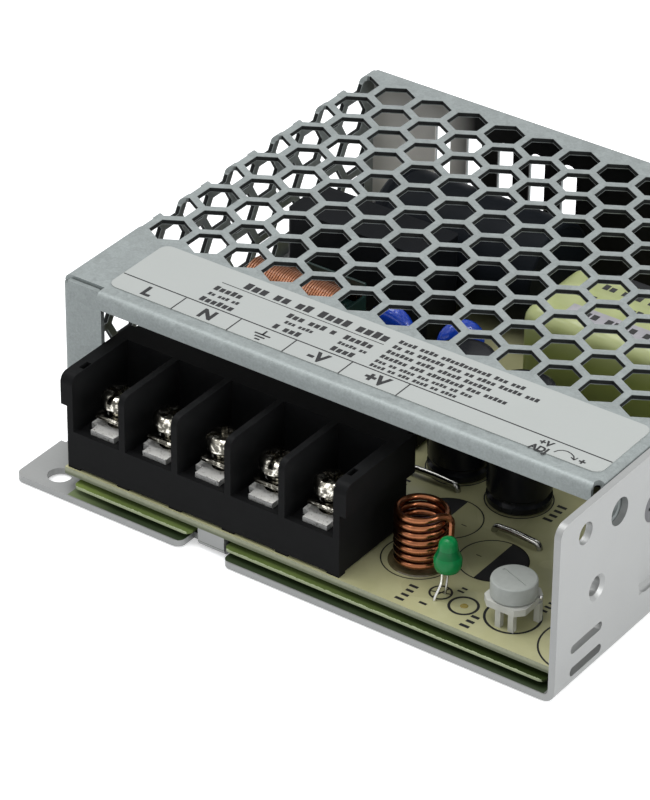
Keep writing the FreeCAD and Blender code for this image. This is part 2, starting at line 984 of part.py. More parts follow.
film_cutters = [
    box(
        "film_tab_notch",
        ("film_gap_right-film_gap_left", 4.4, 3),
        (
            "film_gap_left",
            "-case_depth/2+film_setback-1",
            "film_under-1",
        ),
    )
]
for x, y in POSTS:
    film_cutters.append(rod("film_post_hole", 3.4, 3, (x, y, "film_under-1")))
film_front = box(
    "film_front",
    (
        "film_right-film_left",
        "film_rear_y+case_depth/2-film_setback",
        "film_sheet",
    ),
    ("film_left", "-case_depth/2+film_setback", "film_under"),
)
film_rear = box(
    "film_rear",
    (
        "film_left-film_rear_left+0.2",
        "film_rear_y-board_notch_y-1.5",
        "film_sheet",
    ),
    ("film_rear_left", "board_notch_y+1.5", "film_under"),
)
film = cut("film_notched", fuse("film_blank", [film_front, film_rear]), film_cutters)
film = soften(
    "film_rounded",
    film,
    1.1,
    "z",
    lambda p: near(p.y, V["film_setback"] - half_d),
)
node(film, "insulating_film")

board_z = "board_under+board_sheet"
for number, (x, y) in enumerate(POSTS, start=1):
    post_rod = rod(
        "post_rod", 3.0, "board_under-base_sheet", (x, y, "base_sheet")
    )
    post_bore = rod("post_bore", 1.5, 6, (x, y, "base_sheet+0.4"))
    node(cut("post_cut", post_rod, [post_bore]), "board_post_%d" % number)
    shank = rod("shank", 1.2, 2.2, (x, y, board_z + "-2.2"))
    head = rod("head", 2.75, 1.0, (x, y, board_z))
    crown = cone("crown", 2.75, 2.1, 0.8, (x, y, board_z + "+1"))
    slots = [
        box("slot_a", (0.7, 3.6, 1.2), (x + "-0.35", y + "-1.8", board_z + "+0.9")),
        box("slot_b", (3.6, 0.7, 1.2), (x + "-1.8", y + "-0.35", board_z + "+0.9")),
    ]
    screw = cut("board_screw_cut", fuse("screw_blank", [shank, head, crown]), slots)
    node(screw, "board_screw_%d" % number)

# Terminal block with five bays, wings above the step and small feet.
block_front = "-case_depth/2+block_setback"
block_low = "board_under+board_sheet+block_foot"
block_width = "bay_count*bay_pitch+bay_wall"
block_body = box(
    "block_body",
    (block_width, "block_length", "block_top-board_under-board_sheet-block_foot"),
    ("block_left", block_front, block_low),
)
block_wings = box(
    "block_wings",
    (block_width + "+2*wing_out", "block_length", "block_top-wing_low"),
    ("block_left-wing_out", block_front, "wing_low"),
)
block_back = box(
    "block_back",
    (block_width, "block_length+wing_rear", "block_top-wing_rear_low"),
    ("block_left", block_front, "wing_rear_low"),
)
block_pieces = [block_body, block_wings, block_back]
block_cutters = []
for index in range(int(V["bay_count"]) + 1):
    foot_x = "block_left+%d*bay_pitch+bay_wall/2-1.1" % index
    if index == 0:
        foot_x = "block_left"
    if index == int(V["bay_count"]):
        foot_x = "block_left+bay_count*bay_pitch+bay_wall-2.2"
    for shift in ("", "+block_length-1.6"):
        block_pieces.append(
            box(
                "block_foot_part",
                (2.2, 1.6, "block_foot+0.5"),
                (foot_x, block_front + shift, board_z),
            )
        )
for index in range(int(V["bay_count"])):
    bay_x = "block_left+bay_wall+%d*bay_pitch" % index
    mid_x = "block_left+bay_wall/2+%d*bay_pitch+bay_pitch/2" % index
    block_cutters.append(
        box(
            "bay_open",
            ("bay_pitch-bay_wall", "bay_deep+1", "block_top-sill_top+1"),
            (bay_x, block_front + "-1", "sill_top"),
        )
    )
    block_cutters.append(
        box(
            "bay_pocket",
            ("bay_pitch-bay_wall", "bay_deep-1", "block_top-bay_floor"),
            (bay_x, block_front + "+1", "bay_floor"),
        )
    )
    block_cutters.append(
        rod(
            "screw_well",
            "thread_r+0.5",
            "bay_floor-board_under-board_sheet-block_foot-0.6+0.5",
            (
                mid_x,
                "-case_depth/2+screw_setback",
                block_low + "+0.6",
            ),
        )
    )
for x in ("block_left+0.1", "block_left+bay_count*bay_pitch+0.1"):
    block_cutters.append(
        box(
            "wing_pocket",
            (0.9, 1.9, 2),
            (x, block_front + "+3.0", "block_top-1.6"),
        )
    )
block = cut("block_open", fuse("block_blank", block_pieces), block_cutters)
block = soften(
    "block_rounded",
    block,
    V["block_bevel"],
    "x",
    lambda p: near(p.z, V["block_top"]) and near(p.y, V["block_setback"] - half_d),
)
node(block, "terminal_housing")

# Each terminal: tongue plate, square clamp washer and backed out screw.
screw_y = "-case_depth/2+screw_setback"
for index in range(int(V["bay_count"])):
    mid_x = "block_left+bay_wall/2+%d*bay_pitch+bay_pitch/2" % index
    plate_main = box(
        "plate_main",
        ("plate_width", "bay_deep-3.2-0.6", "plate_sheet"),
        (mid_x + "-plate_width/2", block_front + "+3.2", "bay_floor"),
    )
    plate_tongue = box(
        "plate_tongue",
        ("tongue_width", 2.2, "plate_sheet"),
        (
            mid_x + "-tongue_width/2",
            block_front + "+plate_front",
            "bay_floor",
        ),
    )
    plate_bore = rod(
        "plate_bore", "thread_r+0.35", 4, (mid_x, screw_y, "bay_floor-1")
    )
    plate = cut("plate_cut", fuse("plate_blank", [plate_main, plate_tongue]), [plate_bore])
    node(plate, "terminal_plate_%d" % (index + 1))
    washer = box(
        "washer_blank",
        ("2*washer_half", "2*washer_half", "washer_sheet"),
        (mid_x + "-washer_half", screw_y + "-washer_half", "washer_rest"),
    )
    washer_bore = rod(
        "washer_bore", "thread_r+0.35", 3, (mid_x, screw_y, "washer_rest-1")
    )
    node(cut("washer_cut", washer, [washer_bore]), "clamp_washer_%d" % (index + 1))
    thread = rod(
        "thread",
        "thread_r",
        "thread_length+0.5",
        (mid_x, screw_y, "screw_rest-thread_length"),
    )
    head = rod(
        "head", "screw_head_r", "screw_head_h-0.8", (mid_x, screw_y, "screw_rest")
    )
    crown = cone(
        "crown",
        "screw_head_r",
        "screw_head_r-0.7",
        0.8,
        (mid_x, screw_y, "screw_rest+screw_head_h-0.8"),
    )
    slot_long = box(
        "slot_long",
        ("2*screw_head_r+1", 0.8, 1.2),
        (
            mid_x + "-screw_head_r-0.5",
            screw_y + "-0.4",
            "screw_rest+screw_head_h-1",
        ),
    )
    slot_cross = box(
        "slot_cross",
        (0.8, 3.6, 1.5),
        (mid_x + "-0.4", screw_y + "-1.8", "screw_rest+screw_head_h-1.3"),
    )
    screw = cut(
        "terminal_screw_cut",
        fuse("terminal_screw_blank", [thread, head, crown]),
        [slot_long, slot_cross],
    )
    node(screw, "terminal_screw_%d" % (index + 1))

# Lamp on two long leads.
lens_base = rod("lens_base", "led_r", 2.2, ("led_x", "led_y", "led_low"))
lens_neck = cone("lens_neck", "led_r", "dome_r", 1.5, ("led_x", "led_y", "led_low+2.2"))
lens_dome = doc.addObject("Part::Sphere", "Dome")
lens_dome.Label = "lens_dome"
lens_dome.setExpression("Radius", tied("dome_r"))
place(lens_dome, ("led_x", "led_y", "led_low+3.7"))
node(fuse("lens", [lens_base, lens_neck, lens_dome]), "led_lens")
LEADS = (("led_lead_short", "led_y-1.0"), ("led_lead_long", "led_y+1.0"))
for name, y in LEADS:
    lead = box(
        "lead_blank",
        (0.5, 0.5, "led_low-board_under-board_sheet"),
        ("led_x-0.25", y + "-0.25", board_z),
    )
    node(lead, name)

# Trimmer: legged base plate and a round knob turning on a short pin.
trim_pieces = [
    box(
        "trim_plate_blank",
        ("2*trim_half", "2*trim_half", "trim_plate"),
        ("trim_x-trim_half", "trim_y-trim_half", "trim_plate_z"),
    ),
    rod("trim_pin", 1.2, 0.9, ("trim_x", "trim_y", "trim_plate_z+trim_plate")),
]
trim_pieces[0] = soften(
    "trim_plate_cut",
    trim_pieces[0],
    1.2,
    "z",
    lambda p: True,
    "Part::Chamfer",
)
TRIM_LEGS = (("-0.9", "-trim_half+0.1"), ("+1.3", "-trim_half+0.1"), ("+2.9", "+0.9"))
for dx, dy in TRIM_LEGS:
    trim_pieces.append(
        box(
            "trim_leg",
            (0.9, 0.9, "trim_plate_z-board_under-board_sheet+0.3"),
            ("trim_x" + dx, "trim_y" + dy, board_z),
        )
    )
node(fuse("trimmer_body", trim_pieces), "trimmer_base")
knob = rod("knob_blank", "knob_r", "knob_h", ("trim_x", "trim_y", "trim_plate_z+trim_plate+0.15"))
knob_bore = rod(
    "knob_bore", 1.55, 1.2, ("trim_x", "trim_y", "trim_plate_z+trim_plate")
)
knob_slot = box(
    "knob_slot",
    ("2*knob_r-2.4", 0.7, 1),
    (
        "trim_x-knob_r+1.2",
        "trim_y-0.35",
        "trim_plate_z+trim_plate+0.15+knob_h-0.35",
    ),
)
node(cut("knob_cut", knob, [knob_bore, knob_slot]), "trimmer_knob")

# Output coil: bare copper wire wound as an upright helix.
coil_steps = 14
coil_z = board_top + V["coil_wire"] + 0.05
coil_total = int(round(V["coil_turns"] * coil_steps))
coil_rings = []
for step in range(coil_total + 1):
    turn = 2 * math.pi * step / coil_steps
    spot = FreeCAD.Vector(
        V["coil_x"] + V["coil_r"] * math.cos(turn),
        V["coil_y"] + V["coil_r"] * math.sin(turn),
        coil_z + V["coil_pitch"] * turn / (2 * math.pi),
    )
    outward = FreeCAD.Vector(math.cos(turn), math.sin(turn), 0)
    upward = FreeCAD.Vector(0, 0, 1)
    ring = []
    for side in range(6):
        angle = math.pi * side / 3 + math.pi / 6
        ring.append(
            spot
            + outward * (V["coil_wire"] * math.cos(angle))
            + upward * (V["coil_wire"] * math.sin(angle))
        )
    coil_rings.append(ring)


def facets(rings):
    """Closed faceted solid through a row of equal rings."""
    faces = []
    for first, second in zip(rings, rings[1:]):
        for side in range(len(first)):
            after = (side + 1) % len(first)
            corners = (first[side], first[after], second[after], second[side])
            for trio in ((0, 1, 2), (0, 2, 3)):
                points = [corners[k] for k in trio]
                faces.append(Part.Face(Part.makePolygon(points + [points[0]])))
    for ring in (rings[0], rings[-1]):
        centre = ring[0]
        for side in range(1, len(ring) - 1):
            points = [centre, ring[side], ring[side + 1]]
            faces.append(Part.Face(Part.makePolygon(points + [points[0]])))
    solid = Part.Solid(Part.Shell(faces))
    if solid.Volume < 0:
        solid.reverse()
    return solid


node(computed("coil_wire_run", facets(coil_rings)), "output_coil")

# Output side: two upright capacitors and two wire jumpers.
CAPS = (("output_capacitor_1", "cap_a_x", "cap_a_y"), ("output_capacitor_2", "cap_b_x", "cap_b_y"))
for name, x, y in CAPS:
    can = rod(name + "_can", "cap_r", "cap_h-0.4", (x, y, board_z))
    rim = cone(
        name + "_rim", "cap_r", "cap_r-0.4", 0.4, (x, y, board_z + "+cap_h-0.4")
    )
    node(fuse(name + "_blank", [can, rim]), name)

JUMPERS = (
    ("jumper_wire_1", (2.4, -18.4), (11.2, -18.4)),
    ("jumper_wire_2", (21.3, -23.8), (29.4, -24.0)),
)
for name, start, finish in JUMPERS:
    run = FreeCAD.Vector(finish[0] - start[0], finish[1] - start[1], 0)
    run.normalize()
    across = FreeCAD.Vector(-run.y, run.x, 0)
    up = FreeCAD.Vector(0, 0, 1)
    top = board_top + 1.0
    route = [
        (FreeCAD.Vector(start[0], start[1], board_top), run),
        (FreeCAD.Vector(start[0], start[1], top) + run * 0.2, run - up),
        (FreeCAD.Vector(finish[0], finish[1], top) - run * 0.2, -run - up),
        (FreeCAD.Vector(finish[0], finish[1], board_top), -run),
    ]
    rings = []
    for spot, width in route:
        ring = []
        for side in range(6):
            angle = math.pi * side / 3
            ring.append(
                spot
                + width * (0.4 * math.cos(angle))
                + across * (0.4 * math.sin(angle))
            )
        rings.append(ring)
    node(computed(name + "_run", facets(rings)), name)

# Input side: lying electrolytic capacitor, film capacitor and twin choke.
bulk_z = board_z + "+bulk_r"
bulk_pieces = [
    rod(
        "bulk_can",
        "bulk_r",
        "bulk_length-1.2",
        ("bulk_x+0.6", "bulk_y", bulk_z),
        "x",
    ),
    cone("bulk_left", "bulk_r-0.6", "bulk_r", 0.6, ("bulk_x", "bulk_y", bulk_z), "x"),
    cone(
        "bulk_right",
        "bulk_r",
        "bulk_r-0.6",
        0.6,
        ("bulk_x+bulk_length-0.6", "bulk_y", bulk_z),
        "x",
    ),
]
for shift in ("-2.5", "+2.5"):
    bulk_pieces.append(
        box(
            "bulk_lead",
            (2.6, 0.8, 0.8),
            ("bulk_x+bulk_length", "bulk_y" + shift + "-0.4", bulk_z + "-0.4"),
        )
    )
    bulk_pieces.append(
        box(
            "bulk_lead_down",
            (0.8, 0.8, "bulk_r+0.4"),
            ("bulk_x+bulk_length+1.8", "bulk_y" + shift + "-0.4", board_z),
        )
    )
node(fuse("bulk_blank", bulk_pieces), "bulk_capacitor")


def block_part(name, low, high):
    size = [high[k] - low[k] for k in range(3)]
    return box(name, size, low)


film_cap_x = V["film_cap_x"]
film_cap = block_part(
    "film_cap_blank",
    (film_cap_x, 11.0, board_top),
    (film_cap_x + V["film_cap_length"], 20.4, 21.5),
)
film_cap = soften("film_cap_rounded", film_cap, 0.8, "z", lambda p: True)
node(film_cap, "film_capacitor")

choke_z = 13.6
choke_x = V["choke_x"]
left_end = choke_x - 8.0
right_end = choke_x + 8.0
LIMBS = ((choke_x - 4.2, 1), (choke_x + 4.2, 2))
core_pieces = [
    block_part("choke_front", (left_end, -13.4, 8.4), (right_end, -10.4, 17.4)),
    block_part("choke_rear", (left_end, 0.4, 8.4), (right_end, 3.4, 17.4)),
    block_part("choke_divider", (choke_x - 0.4, -10.4, 6.0), (choke_x + 0.4, 0.4, 18.6)),
    block_part("choke_base", (left_end - 0.4, -13.8, 6.0), (right_end + 0.4, 3.8, 8.4)),
]
for x in (left_end + 0.4, right_end - 1.4):
    for y in (-13.0, 2.2):
        core_pieces.append(
            block_part("choke_pin", (x, y, board_top), (x + 0.8, y + 0.8, 6.0))
        )
for x, number in LIMBS:
    core_pieces.append(rod("choke_limb", 1.7, 10.8, (x, -10.4, choke_z), "y"))
    tube = rod("winding_tube", 3.5, 10.0, (x, -10.0, choke_z), "y")
    opening = rod("winding_opening", 2.1, 12.0, (x, -11.0, choke_z), "y")
    node(cut("winding_cut", tube, [opening]), "choke_winding_%d" % number)
node(fuse("choke_blank", core_pieces), "choke_core")

# Transformer: ferrite core through a taped winding on a low bobbin.
winding = block_part("winding_blank", (5.4, -6.4, 8.6), (34.6, 21.4, 23.6))
winding = soften("winding_rounded", winding, 3.2, "y", lambda p: near(p.z, 23.6))
winding_room = block_part("winding_room", (13.0, -8.0, 11.4), (27.0, 23.0, 20.6))
node(cut("winding_open", winding, [winding_room]), "transformer_winding")
core_parts = [
    block_part("core_limb", (13.4, -9.0, 11.8), (26.6, 24.6, 20.2)),
    block_part("core_front", (11.4, -9.0, 9.4), (31.0, -6.6, 21.6)),
    block_part("core_rear", (11.4, 21.6, 9.4), (31.0, 24.6, 21.6)),
]
node(fuse("core_blank", core_parts), "transformer_core")
bobbin = [block_part("bobbin_plate", (6.4, -7.6, 6.4), (33.6, 22.6, 8.6))]
for x in (8.0, 14.0, 20.0, 26.0, 31.0):
    for y in (-7.2, 21.4):
        bobbin.append(
            block_part("bobbin_pin", (x, y, board_top), (x + 0.8, y + 0.8, 6.4))
        )
node(fuse("bobbin_blank", bobbin), "transformer_bobbin")

DISCS = (
    ("disc_capacitor_1", (-12.0, -3.6), 4.2),
    ("disc_capacitor_2", (-3.4, -2.0), 4.0),
    ("thermistor", (-13.6, -10.4), 3.8),
)
for name, (x, y), radius in DISCS:
    disc = rod(name + "_disc", radius, 2.8, (x, y - 1.4, board_top + 2.6 + radius), "y")
    pieces = [disc]
    for dx in (-2.4, 2.0):
        pieces.append(
            block_part(
                name + "_lead",
                (x + dx, y - 0.2, board_top),
                (x + dx + 0.4, y + 0.2, board_top + 4.2),
            )
        )
    node(fuse(name + "_blank", pieces), name)

fuse_x = V["fuse_x"]
fuse_y = V["fuse_y"]
fuse_tube = rod("fuse_tube", 2.0, 14.0, (fuse_x, fuse_y, board_top + 2.3), "x")
fuse_parts = [fuse_tube]
for x in (fuse_x, fuse_x + 11.0):
    fuse_parts.append(
        block_part(
            "fuse_clip",
            (x, fuse_y - 1.6, board_top),
            (x + 3.0, fuse_y + 1.6, board_top + 2.0),
        )
    )
node(fuse("fuse_blank", fuse_parts), "input_fuse")

bridge_y = V["bridge_y"]
bridge = block_part(
    "bridge_body", (-18.5, bridge_y, 7.0), (-4.5, bridge_y + 3.4, 18.0)
)
bridge_parts = [bridge]
for x in (-17.4, -13.4, -9.6, -6.4):
    bridge_parts.append(
        block_part(
            "bridge_lead",
            (x, bridge_y + 1.3, board_top),
            (x + 0.8, bridge_y + 2.1, 7.2),
        )
    )
node(fuse("bridge_blank", bridge_parts), "bridge_rectifier")

chip = [block_part("chip_body", (-11.6, 6.0, 5.3), (-2.4, 12.2, 8.6))]
for x in (-10.8, -8.3, -5.8, -3.7):
    for y in (5.4, 12.2):
        chip.append(block_part("chip_pin", (x, y, board_top), (x + 0.5, y + 0.6, 7.0)))
node(fuse("chip_blank", chip), "control_chip")

opto = [block_part("opto_body", (-4.6, -12.8, 5.2), (0.0, -8.2, 8.4))]
for x in (-4.0, -1.2):
    for y in (-13.4, -8.2):
        opto.append(block_part("opto_pin", (x, y, board_top), (x + 0.5, y + 0.6, 6.8)))
node(fuse("opto_blank", opto), "optocoupler")

# Power devices screwed through pads to the inside of the side wall.
wall_inner = half_w - V["base_sheet"]
DEVICES = (("output_diode", V["device_y"]), ("power_transistor", V["device_rear_y"]))
top = V["device_top"]
for name, y in DEVICES:
    pad = block_part(
        name + "_pad_blank", (wall_inner - 0.3, y - 5.2, 7.4), (wall_inner, y + 5.2, top + 0.4)
    )
    z = V["device_z"]
    pad_hole = rod("pad_hole", 1.9, 3, (wall_inner - 1.5, y, z), "x")
    node(cut("pad_cut", pad, [pad_hole]), name + "_pad")
    back = wall_inner - 0.3
    tab_plate = block_part("tab_plate", (back - 1.2, y - 4.9, 8.0), (back, y + 4.9, top))
    pieces = [
        tab_plate,
        block_part("device_body", (back - 4.4, y - 4.9, 8.0), (back - 1.2, y + 4.9, 15.6)),
    ]
    for dy in (-2.9, -0.4, 2.1):
        pieces.append(
            block_part(
                "device_lead",
                (back - 3.2, y + dy, board_top),
                (back - 2.4, y + dy + 0.8, 8.0),
            )
        )
    tab_hole = rod("tab_hole", 1.7, 6, (back - 3, y, z), "x")
    node(cut(name + "_cut", fuse(name + "_blank", pieces), [tab_hole]), name)
    sunk = wall_inner + 0.05
    face = half_w - V["panel_press"]
    screw_head = cone("wall_screw_head", 1.5, 2.55, face - sunk - 0.1, (sunk, y, z), "x")
    screw_rod = rod("wall_screw_rod", 1.35, sunk - back + 4.4, (back - 4.4, y, z), "x")
    recess = [
        block_part("recess_a", (face - 0.5, y - 1.5, z - 0.25), (face + 1, y + 1.5, z + 0.25)),
        block_part("recess_b", (face - 0.5, y - 0.25, z - 1.5), (face + 1, y + 0.25, z + 1.5)),
    ]
    screw = cut(
        "wall_screw_cut", fuse("wall_screw_blank", [screw_head, screw_rod]), recess
    )
    node(screw, "wall_screw_1" if name == "output_diode" else "wall_screw_2")
    nut = doc.addObject("Part::Prism", "Nut")
    nut.Label = "nut_blank"
    nut.Polygon = 6
    nut.Circumradius = 3.1
    nut.Height = 2.2
    place(nut, (back - 1.2 - 2.2, y, z), AXES["x"])
    nut_hole = rod("nut_hole", 1.6, 6, (back - 5, y, z), "x")
    node(
        cut("nut_cut", nut, [nut_hole]),
        "wall_nut_1" if name == "output_diode" else "wall_nut_2",
    )

# Countersunk screws holding the cover to the left upstand.
for number, y in enumerate(COVER_SCREWS, start=1):
    z = V["cover_screw_z"]
    screw_head = cone("cover_screw_head", 2.15, 1.35, 0.75, (-half_w, y, z), "x")
    screw_rod = rod("cover_screw_rod", 1.2, 1.45, (-half_w + 0.7, y, z), "x")
    slot = block_part(
        "cover_screw_slot",
        (-half_w - 1, y - 3, z - 0.25),
        (-half_w + 0.4, y + 3, z + 0.25),
    )
    screw = cut("cover_screw_cut", fuse("cover_screw_blank", [screw_head, screw_rod]), [slot])
    node(screw, "cover_screw_%d" % number)

# Rating label on the front of the cover top.
label = box(
    "label_blank",
    ("label_right-label_left", "label_rear-label_front", "label_sheet"),
    ("label_left", "label_front", "case_height"),
)
label = soften("label_rounded", label, V["label_round"], "z", lambda p: True)
node(label, "rating_label")

doc.recompute()
os.makedirs("parts", exist_ok=True)
for obj in doc.Objects:
    if "Invalid" in obj.State or "Error" in obj.State:
        raise RuntimeError("object not built: " + obj.Label)
for obj in nodes:
    shape = obj.Shape
    if shape.isNull() or not shape.isValid() or not shape.Solids:
        raise RuntimeError("bad shape: " + obj.Label)
for obj in nodes:
    obj.Shape.exportStep("parts/" + obj.Label + ".step")
    size = obj.Shape.BoundBox
    print("%-22s solids %d faces %d" % (obj.Label, len(obj.Shape.Solids), len(obj.Shape.Faces)))
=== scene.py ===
import math

import bpy
from mathutils import Matrix, Vector


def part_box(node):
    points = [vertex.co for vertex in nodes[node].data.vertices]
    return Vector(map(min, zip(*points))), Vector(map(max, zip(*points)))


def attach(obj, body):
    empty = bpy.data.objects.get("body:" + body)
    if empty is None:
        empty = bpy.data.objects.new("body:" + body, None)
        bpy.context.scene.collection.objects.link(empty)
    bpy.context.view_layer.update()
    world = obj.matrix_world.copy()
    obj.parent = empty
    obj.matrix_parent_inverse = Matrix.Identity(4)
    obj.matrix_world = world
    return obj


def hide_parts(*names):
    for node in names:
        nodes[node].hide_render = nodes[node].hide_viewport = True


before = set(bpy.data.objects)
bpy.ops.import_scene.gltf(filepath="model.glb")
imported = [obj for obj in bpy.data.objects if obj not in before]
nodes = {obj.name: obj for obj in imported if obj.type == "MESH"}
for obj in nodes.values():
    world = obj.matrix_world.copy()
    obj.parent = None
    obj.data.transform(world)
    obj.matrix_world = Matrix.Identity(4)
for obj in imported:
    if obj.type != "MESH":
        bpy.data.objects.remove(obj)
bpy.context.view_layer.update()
MM = 0.001

# Heights and places shared with the solids, in millimetres.
BASE_TOP = 1.1
BOARD_TOP = 4.5
COVER_TOP = 30.0
LABEL_TOP = 30.15
PRINT_LIFT = 0.012
FILM_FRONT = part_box("insulating_film")[0][1] / MM - 0.08
COVER_LEFT = -48.5
COVER_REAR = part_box("mesh_cover")[1][1] / MM
BAYS = [-34.43 + 9.72 * index for index in range(5)]
SCREW_Y = -41.2
TAPE_TOP = 23.6
OUTPUT_CANS = ((7.75, -12.7), (19.7, -14.7))
TRIMMER = (35.5, -40.4)
LAMP = (24.75, -41.3, 8.8)
TEST_PAD = (28.4, -42.3)

# Where painted green shade lies on the base under the film, and where the cover's honeycomb lies.
UNDER_FILM_X = (-38.5, 46.6)
UNDER_FILM_Y = (-49.3, -44.0)
MESH_TOP_X = (-47.0, 47.0)
MESH_TOP_Y = (-21.0, 48.3)
MESH_SIDE_Y = (-36.0, 48.0)
MESH_SIDE_Z = (2.0, 28.6)

# Sockets of a colour Mix node.
MIX_SHARE, MIX_FIRST, MIX_SECOND, MIX_COLOUR = 0, 6, 7, 2


class Tone:
    """What a socket gives over a surface; sums and products of it add Math nodes."""

    def __init__(self, shading, socket):
        self.shading = shading
        self.socket = socket

    def step(self, operation, *values):
        return self.shading.add("ShaderNodeMath", {"operation": operation}, dict(enumerate(values)))

    def __add__(self, other):
        return self.step("ADD", self, other)

    def __radd__(self, other):
        return self.step("ADD", other, self)

    def __sub__(self, other):
        return self.step("SUBTRACT", self, other)

    def __rsub__(self, other):
        return self.step("SUBTRACT", other, self)

    def __mul__(self, other):
        return self.step("MULTIPLY", self, other)

    def __rmul__(self, other):
        return self.step("MULTIPLY", other, self)

    def __gt__(self, other):
        return self.step("GREATER_THAN", self, other)

    def __lt__(self, other):
        return self.step("LESS_THAN", self, other)

    def clamp(self, low, high):
        return self.step("MINIMUM", self.step("MAXIMUM", self, low), high)


class Shading:
    """A node tree; one method adds every node to it."""

    def __init__(self, tree):
        self.tree = tree

    def fill(self, socket, value):
        """Link a Tone to a socket, or set the socket to a colour or a number."""
        if isinstance(value, Tone):
            self.tree.links.new(value.socket, socket)
        elif isinstance(value, tuple) and socket.type == "RGBA":
            socket.default_value = (*value, 1.0)
        else:
            socket.default_value = value

    def add(self, kind, settings=None, values=None, out=0):
        """A new node of one kind, with its settings, then the values of its sockets."""
        node = self.tree.nodes.new(kind)
        for key, setting in (settings or {}).items():
            setattr(node, key, setting)
        for key, value in (values or {}).items():
            self.fill(node.inputs[key], value)
        return Tone(self, node.outputs[out])

    def on_white(self):
        """1 for rays that meet the white background: camera, reflection and glass."""
        share = self.add("ShaderNodeLightPath", out="Is Camera Ray")
        for ray in ("Is Glossy Ray", "Is Transmission Ray"):
            share = share.step("MAXIMUM", share, self.add("ShaderNodeLightPath", out=ray))
        return share


class Finish(Shading):
    """One surface finish: a Principled shader and what varies over it."""

    def __init__(self, name, colour, roughness, metallic=0.0, **constant):
        self.material = bpy.data.materials.new(name)
        self.material.use_nodes = True
        super().__init__(self.material.node_tree)
        self.shader = self.tree.nodes["Principled BSDF"]
        self.put("Base Color", colour)
        self.put("Roughness", roughness)
        self.put("Metallic", metallic)
        for socket, value in constant.items():
            self.put(socket.replace("_", " "), value)
        self.place = None

    def put(self, socket, value):
        self.fill(self.shader.inputs[socket], value)

    def spot(self, stretch=(1.0, 1.0, 1.0)):
        """Position on the piece in millimetres, stretched along its axes."""
        if self.place is None:
            self.place = self.add("ShaderNodeTexCoord", out="Object")
        scale = tuple(1.0 / (MM * value) for value in stretch)
        values = {"Vector": self.place, "Scale": scale}
        return self.add("ShaderNodeMapping", {"vector_type": "POINT"}, values)

    def axis(self, name):
        """One coordinate on the piece, in millimetres."""
        return self.add("ShaderNodeSeparateXYZ", None, {0: self.spot()}, "XYZ".index(name))

    def band(self, name, low, high):
        """1 between two places on one axis of the piece, else 0."""
        place = self.axis(name)
        return (place > low) * (place < high)

    def grain(self, size, detail=3.0, stretch=(1.0, 1.0, 1.0), roughness=0.55):
        """Cloudy noise from 0 to 1 whose blotches are about size millimetres."""
        values = {"Vector": self.spot(stretch), "Scale": 1.0 / size}
        values.update({"Detail": detail, "Roughness": roughness})
        return self.add("ShaderNodeTexNoise", None, values)

    def spangle(self, size):
        """Random number for each crystal-like patch of the given size."""
        values = {"Vector": self.spot(), "Scale": 1.0 / size}
        colour = self.add("ShaderNodeTexVoronoi", {"feature": "F1"}, values, "Color")
        return self.add("ShaderNodeSeparateColor", None, {0: colour}, "Red")

    def laps(self, spacing):
        """Heights of bands that lie one behind another along Y."""
        settings = {"wave_type": "BANDS", "bands_direction": "Y"}
        values = {"Vector": self.spot(), "Scale": spacing, "Distortion": 0.6, "Detail": 1.0}
        return self.add("ShaderNodeTexWave", settings, values, "Fac")

    def blend(self, share, first, second):
        """Colour between first, at share 0, and second, at share 1."""
        values = {MIX_SHARE: share, MIX_FIRST: first, MIX_SECOND: second}
        return self.add("ShaderNodeMix", {"data_type": "RGBA"}, values, MIX_COLOUR)

    def relief(self, height, depth):
        """Bumps depth millimetres deep, from a height of 0 to 1."""
        values = {"Strength": 1.0, "Distance": depth * MM, "Height": height}
        self.put("Normal", self.add("ShaderNodeBump", None, values))


def shade(colour, factor):
    """The same colour, darker or lighter."""
    return tuple(channel * factor for channel in colour)


def aluminium_sheet():
    """Rolled aluminium with painted green shade and reflection on the base under the film, and
    painted light at its left end.
    """
    tone = (0.32, 0.325, 0.32)
    finish = Finish("aluminium_sheet", tone, 0.42, 0.5)
    rolled = finish.grain(0.35, 4.0, (60.0, 1.0, 1.0))
    cloudy = finish.grain(9.0, 3.0)
    sheet = finish.blend(rolled * 0.4 + cloudy * 0.6, shade(tone, 0.88), shade(tone, 1.10))
    # Painted shade and green reflection on the base under the film, lighter with painted light
    # towards its left end.
    base_face = finish.band("Z", BASE_TOP - 0.04, BASE_TOP + 0.04)
    painted_shade_under_film = base_face * finish.band("Y", *UNDER_FILM_Y) * finish.band("X", *UNDER_FILM_X)
    painted_light_left_end = ((-30.0 - finish.axis("X")) * 0.12).clamp(0.0, 1.0)
    painted_light_share = painted_light_left_end * 0.6 + cloudy * 0.12
    green = finish.blend(painted_light_share, (0.010, 0.022, 0.006), (0.22, 0.28, 0.12))
    finish.put("Base Color", finish.blend(painted_shade_under_film, sheet, green))
    finish.put("Roughness", 0.34 + cloudy * 0.12 + rolled * 0.10)
    finish.put("Metallic", 0.5 - painted_shade_under_film * 0.5)
    finish.relief(rolled, 0.006)
    return finish.material


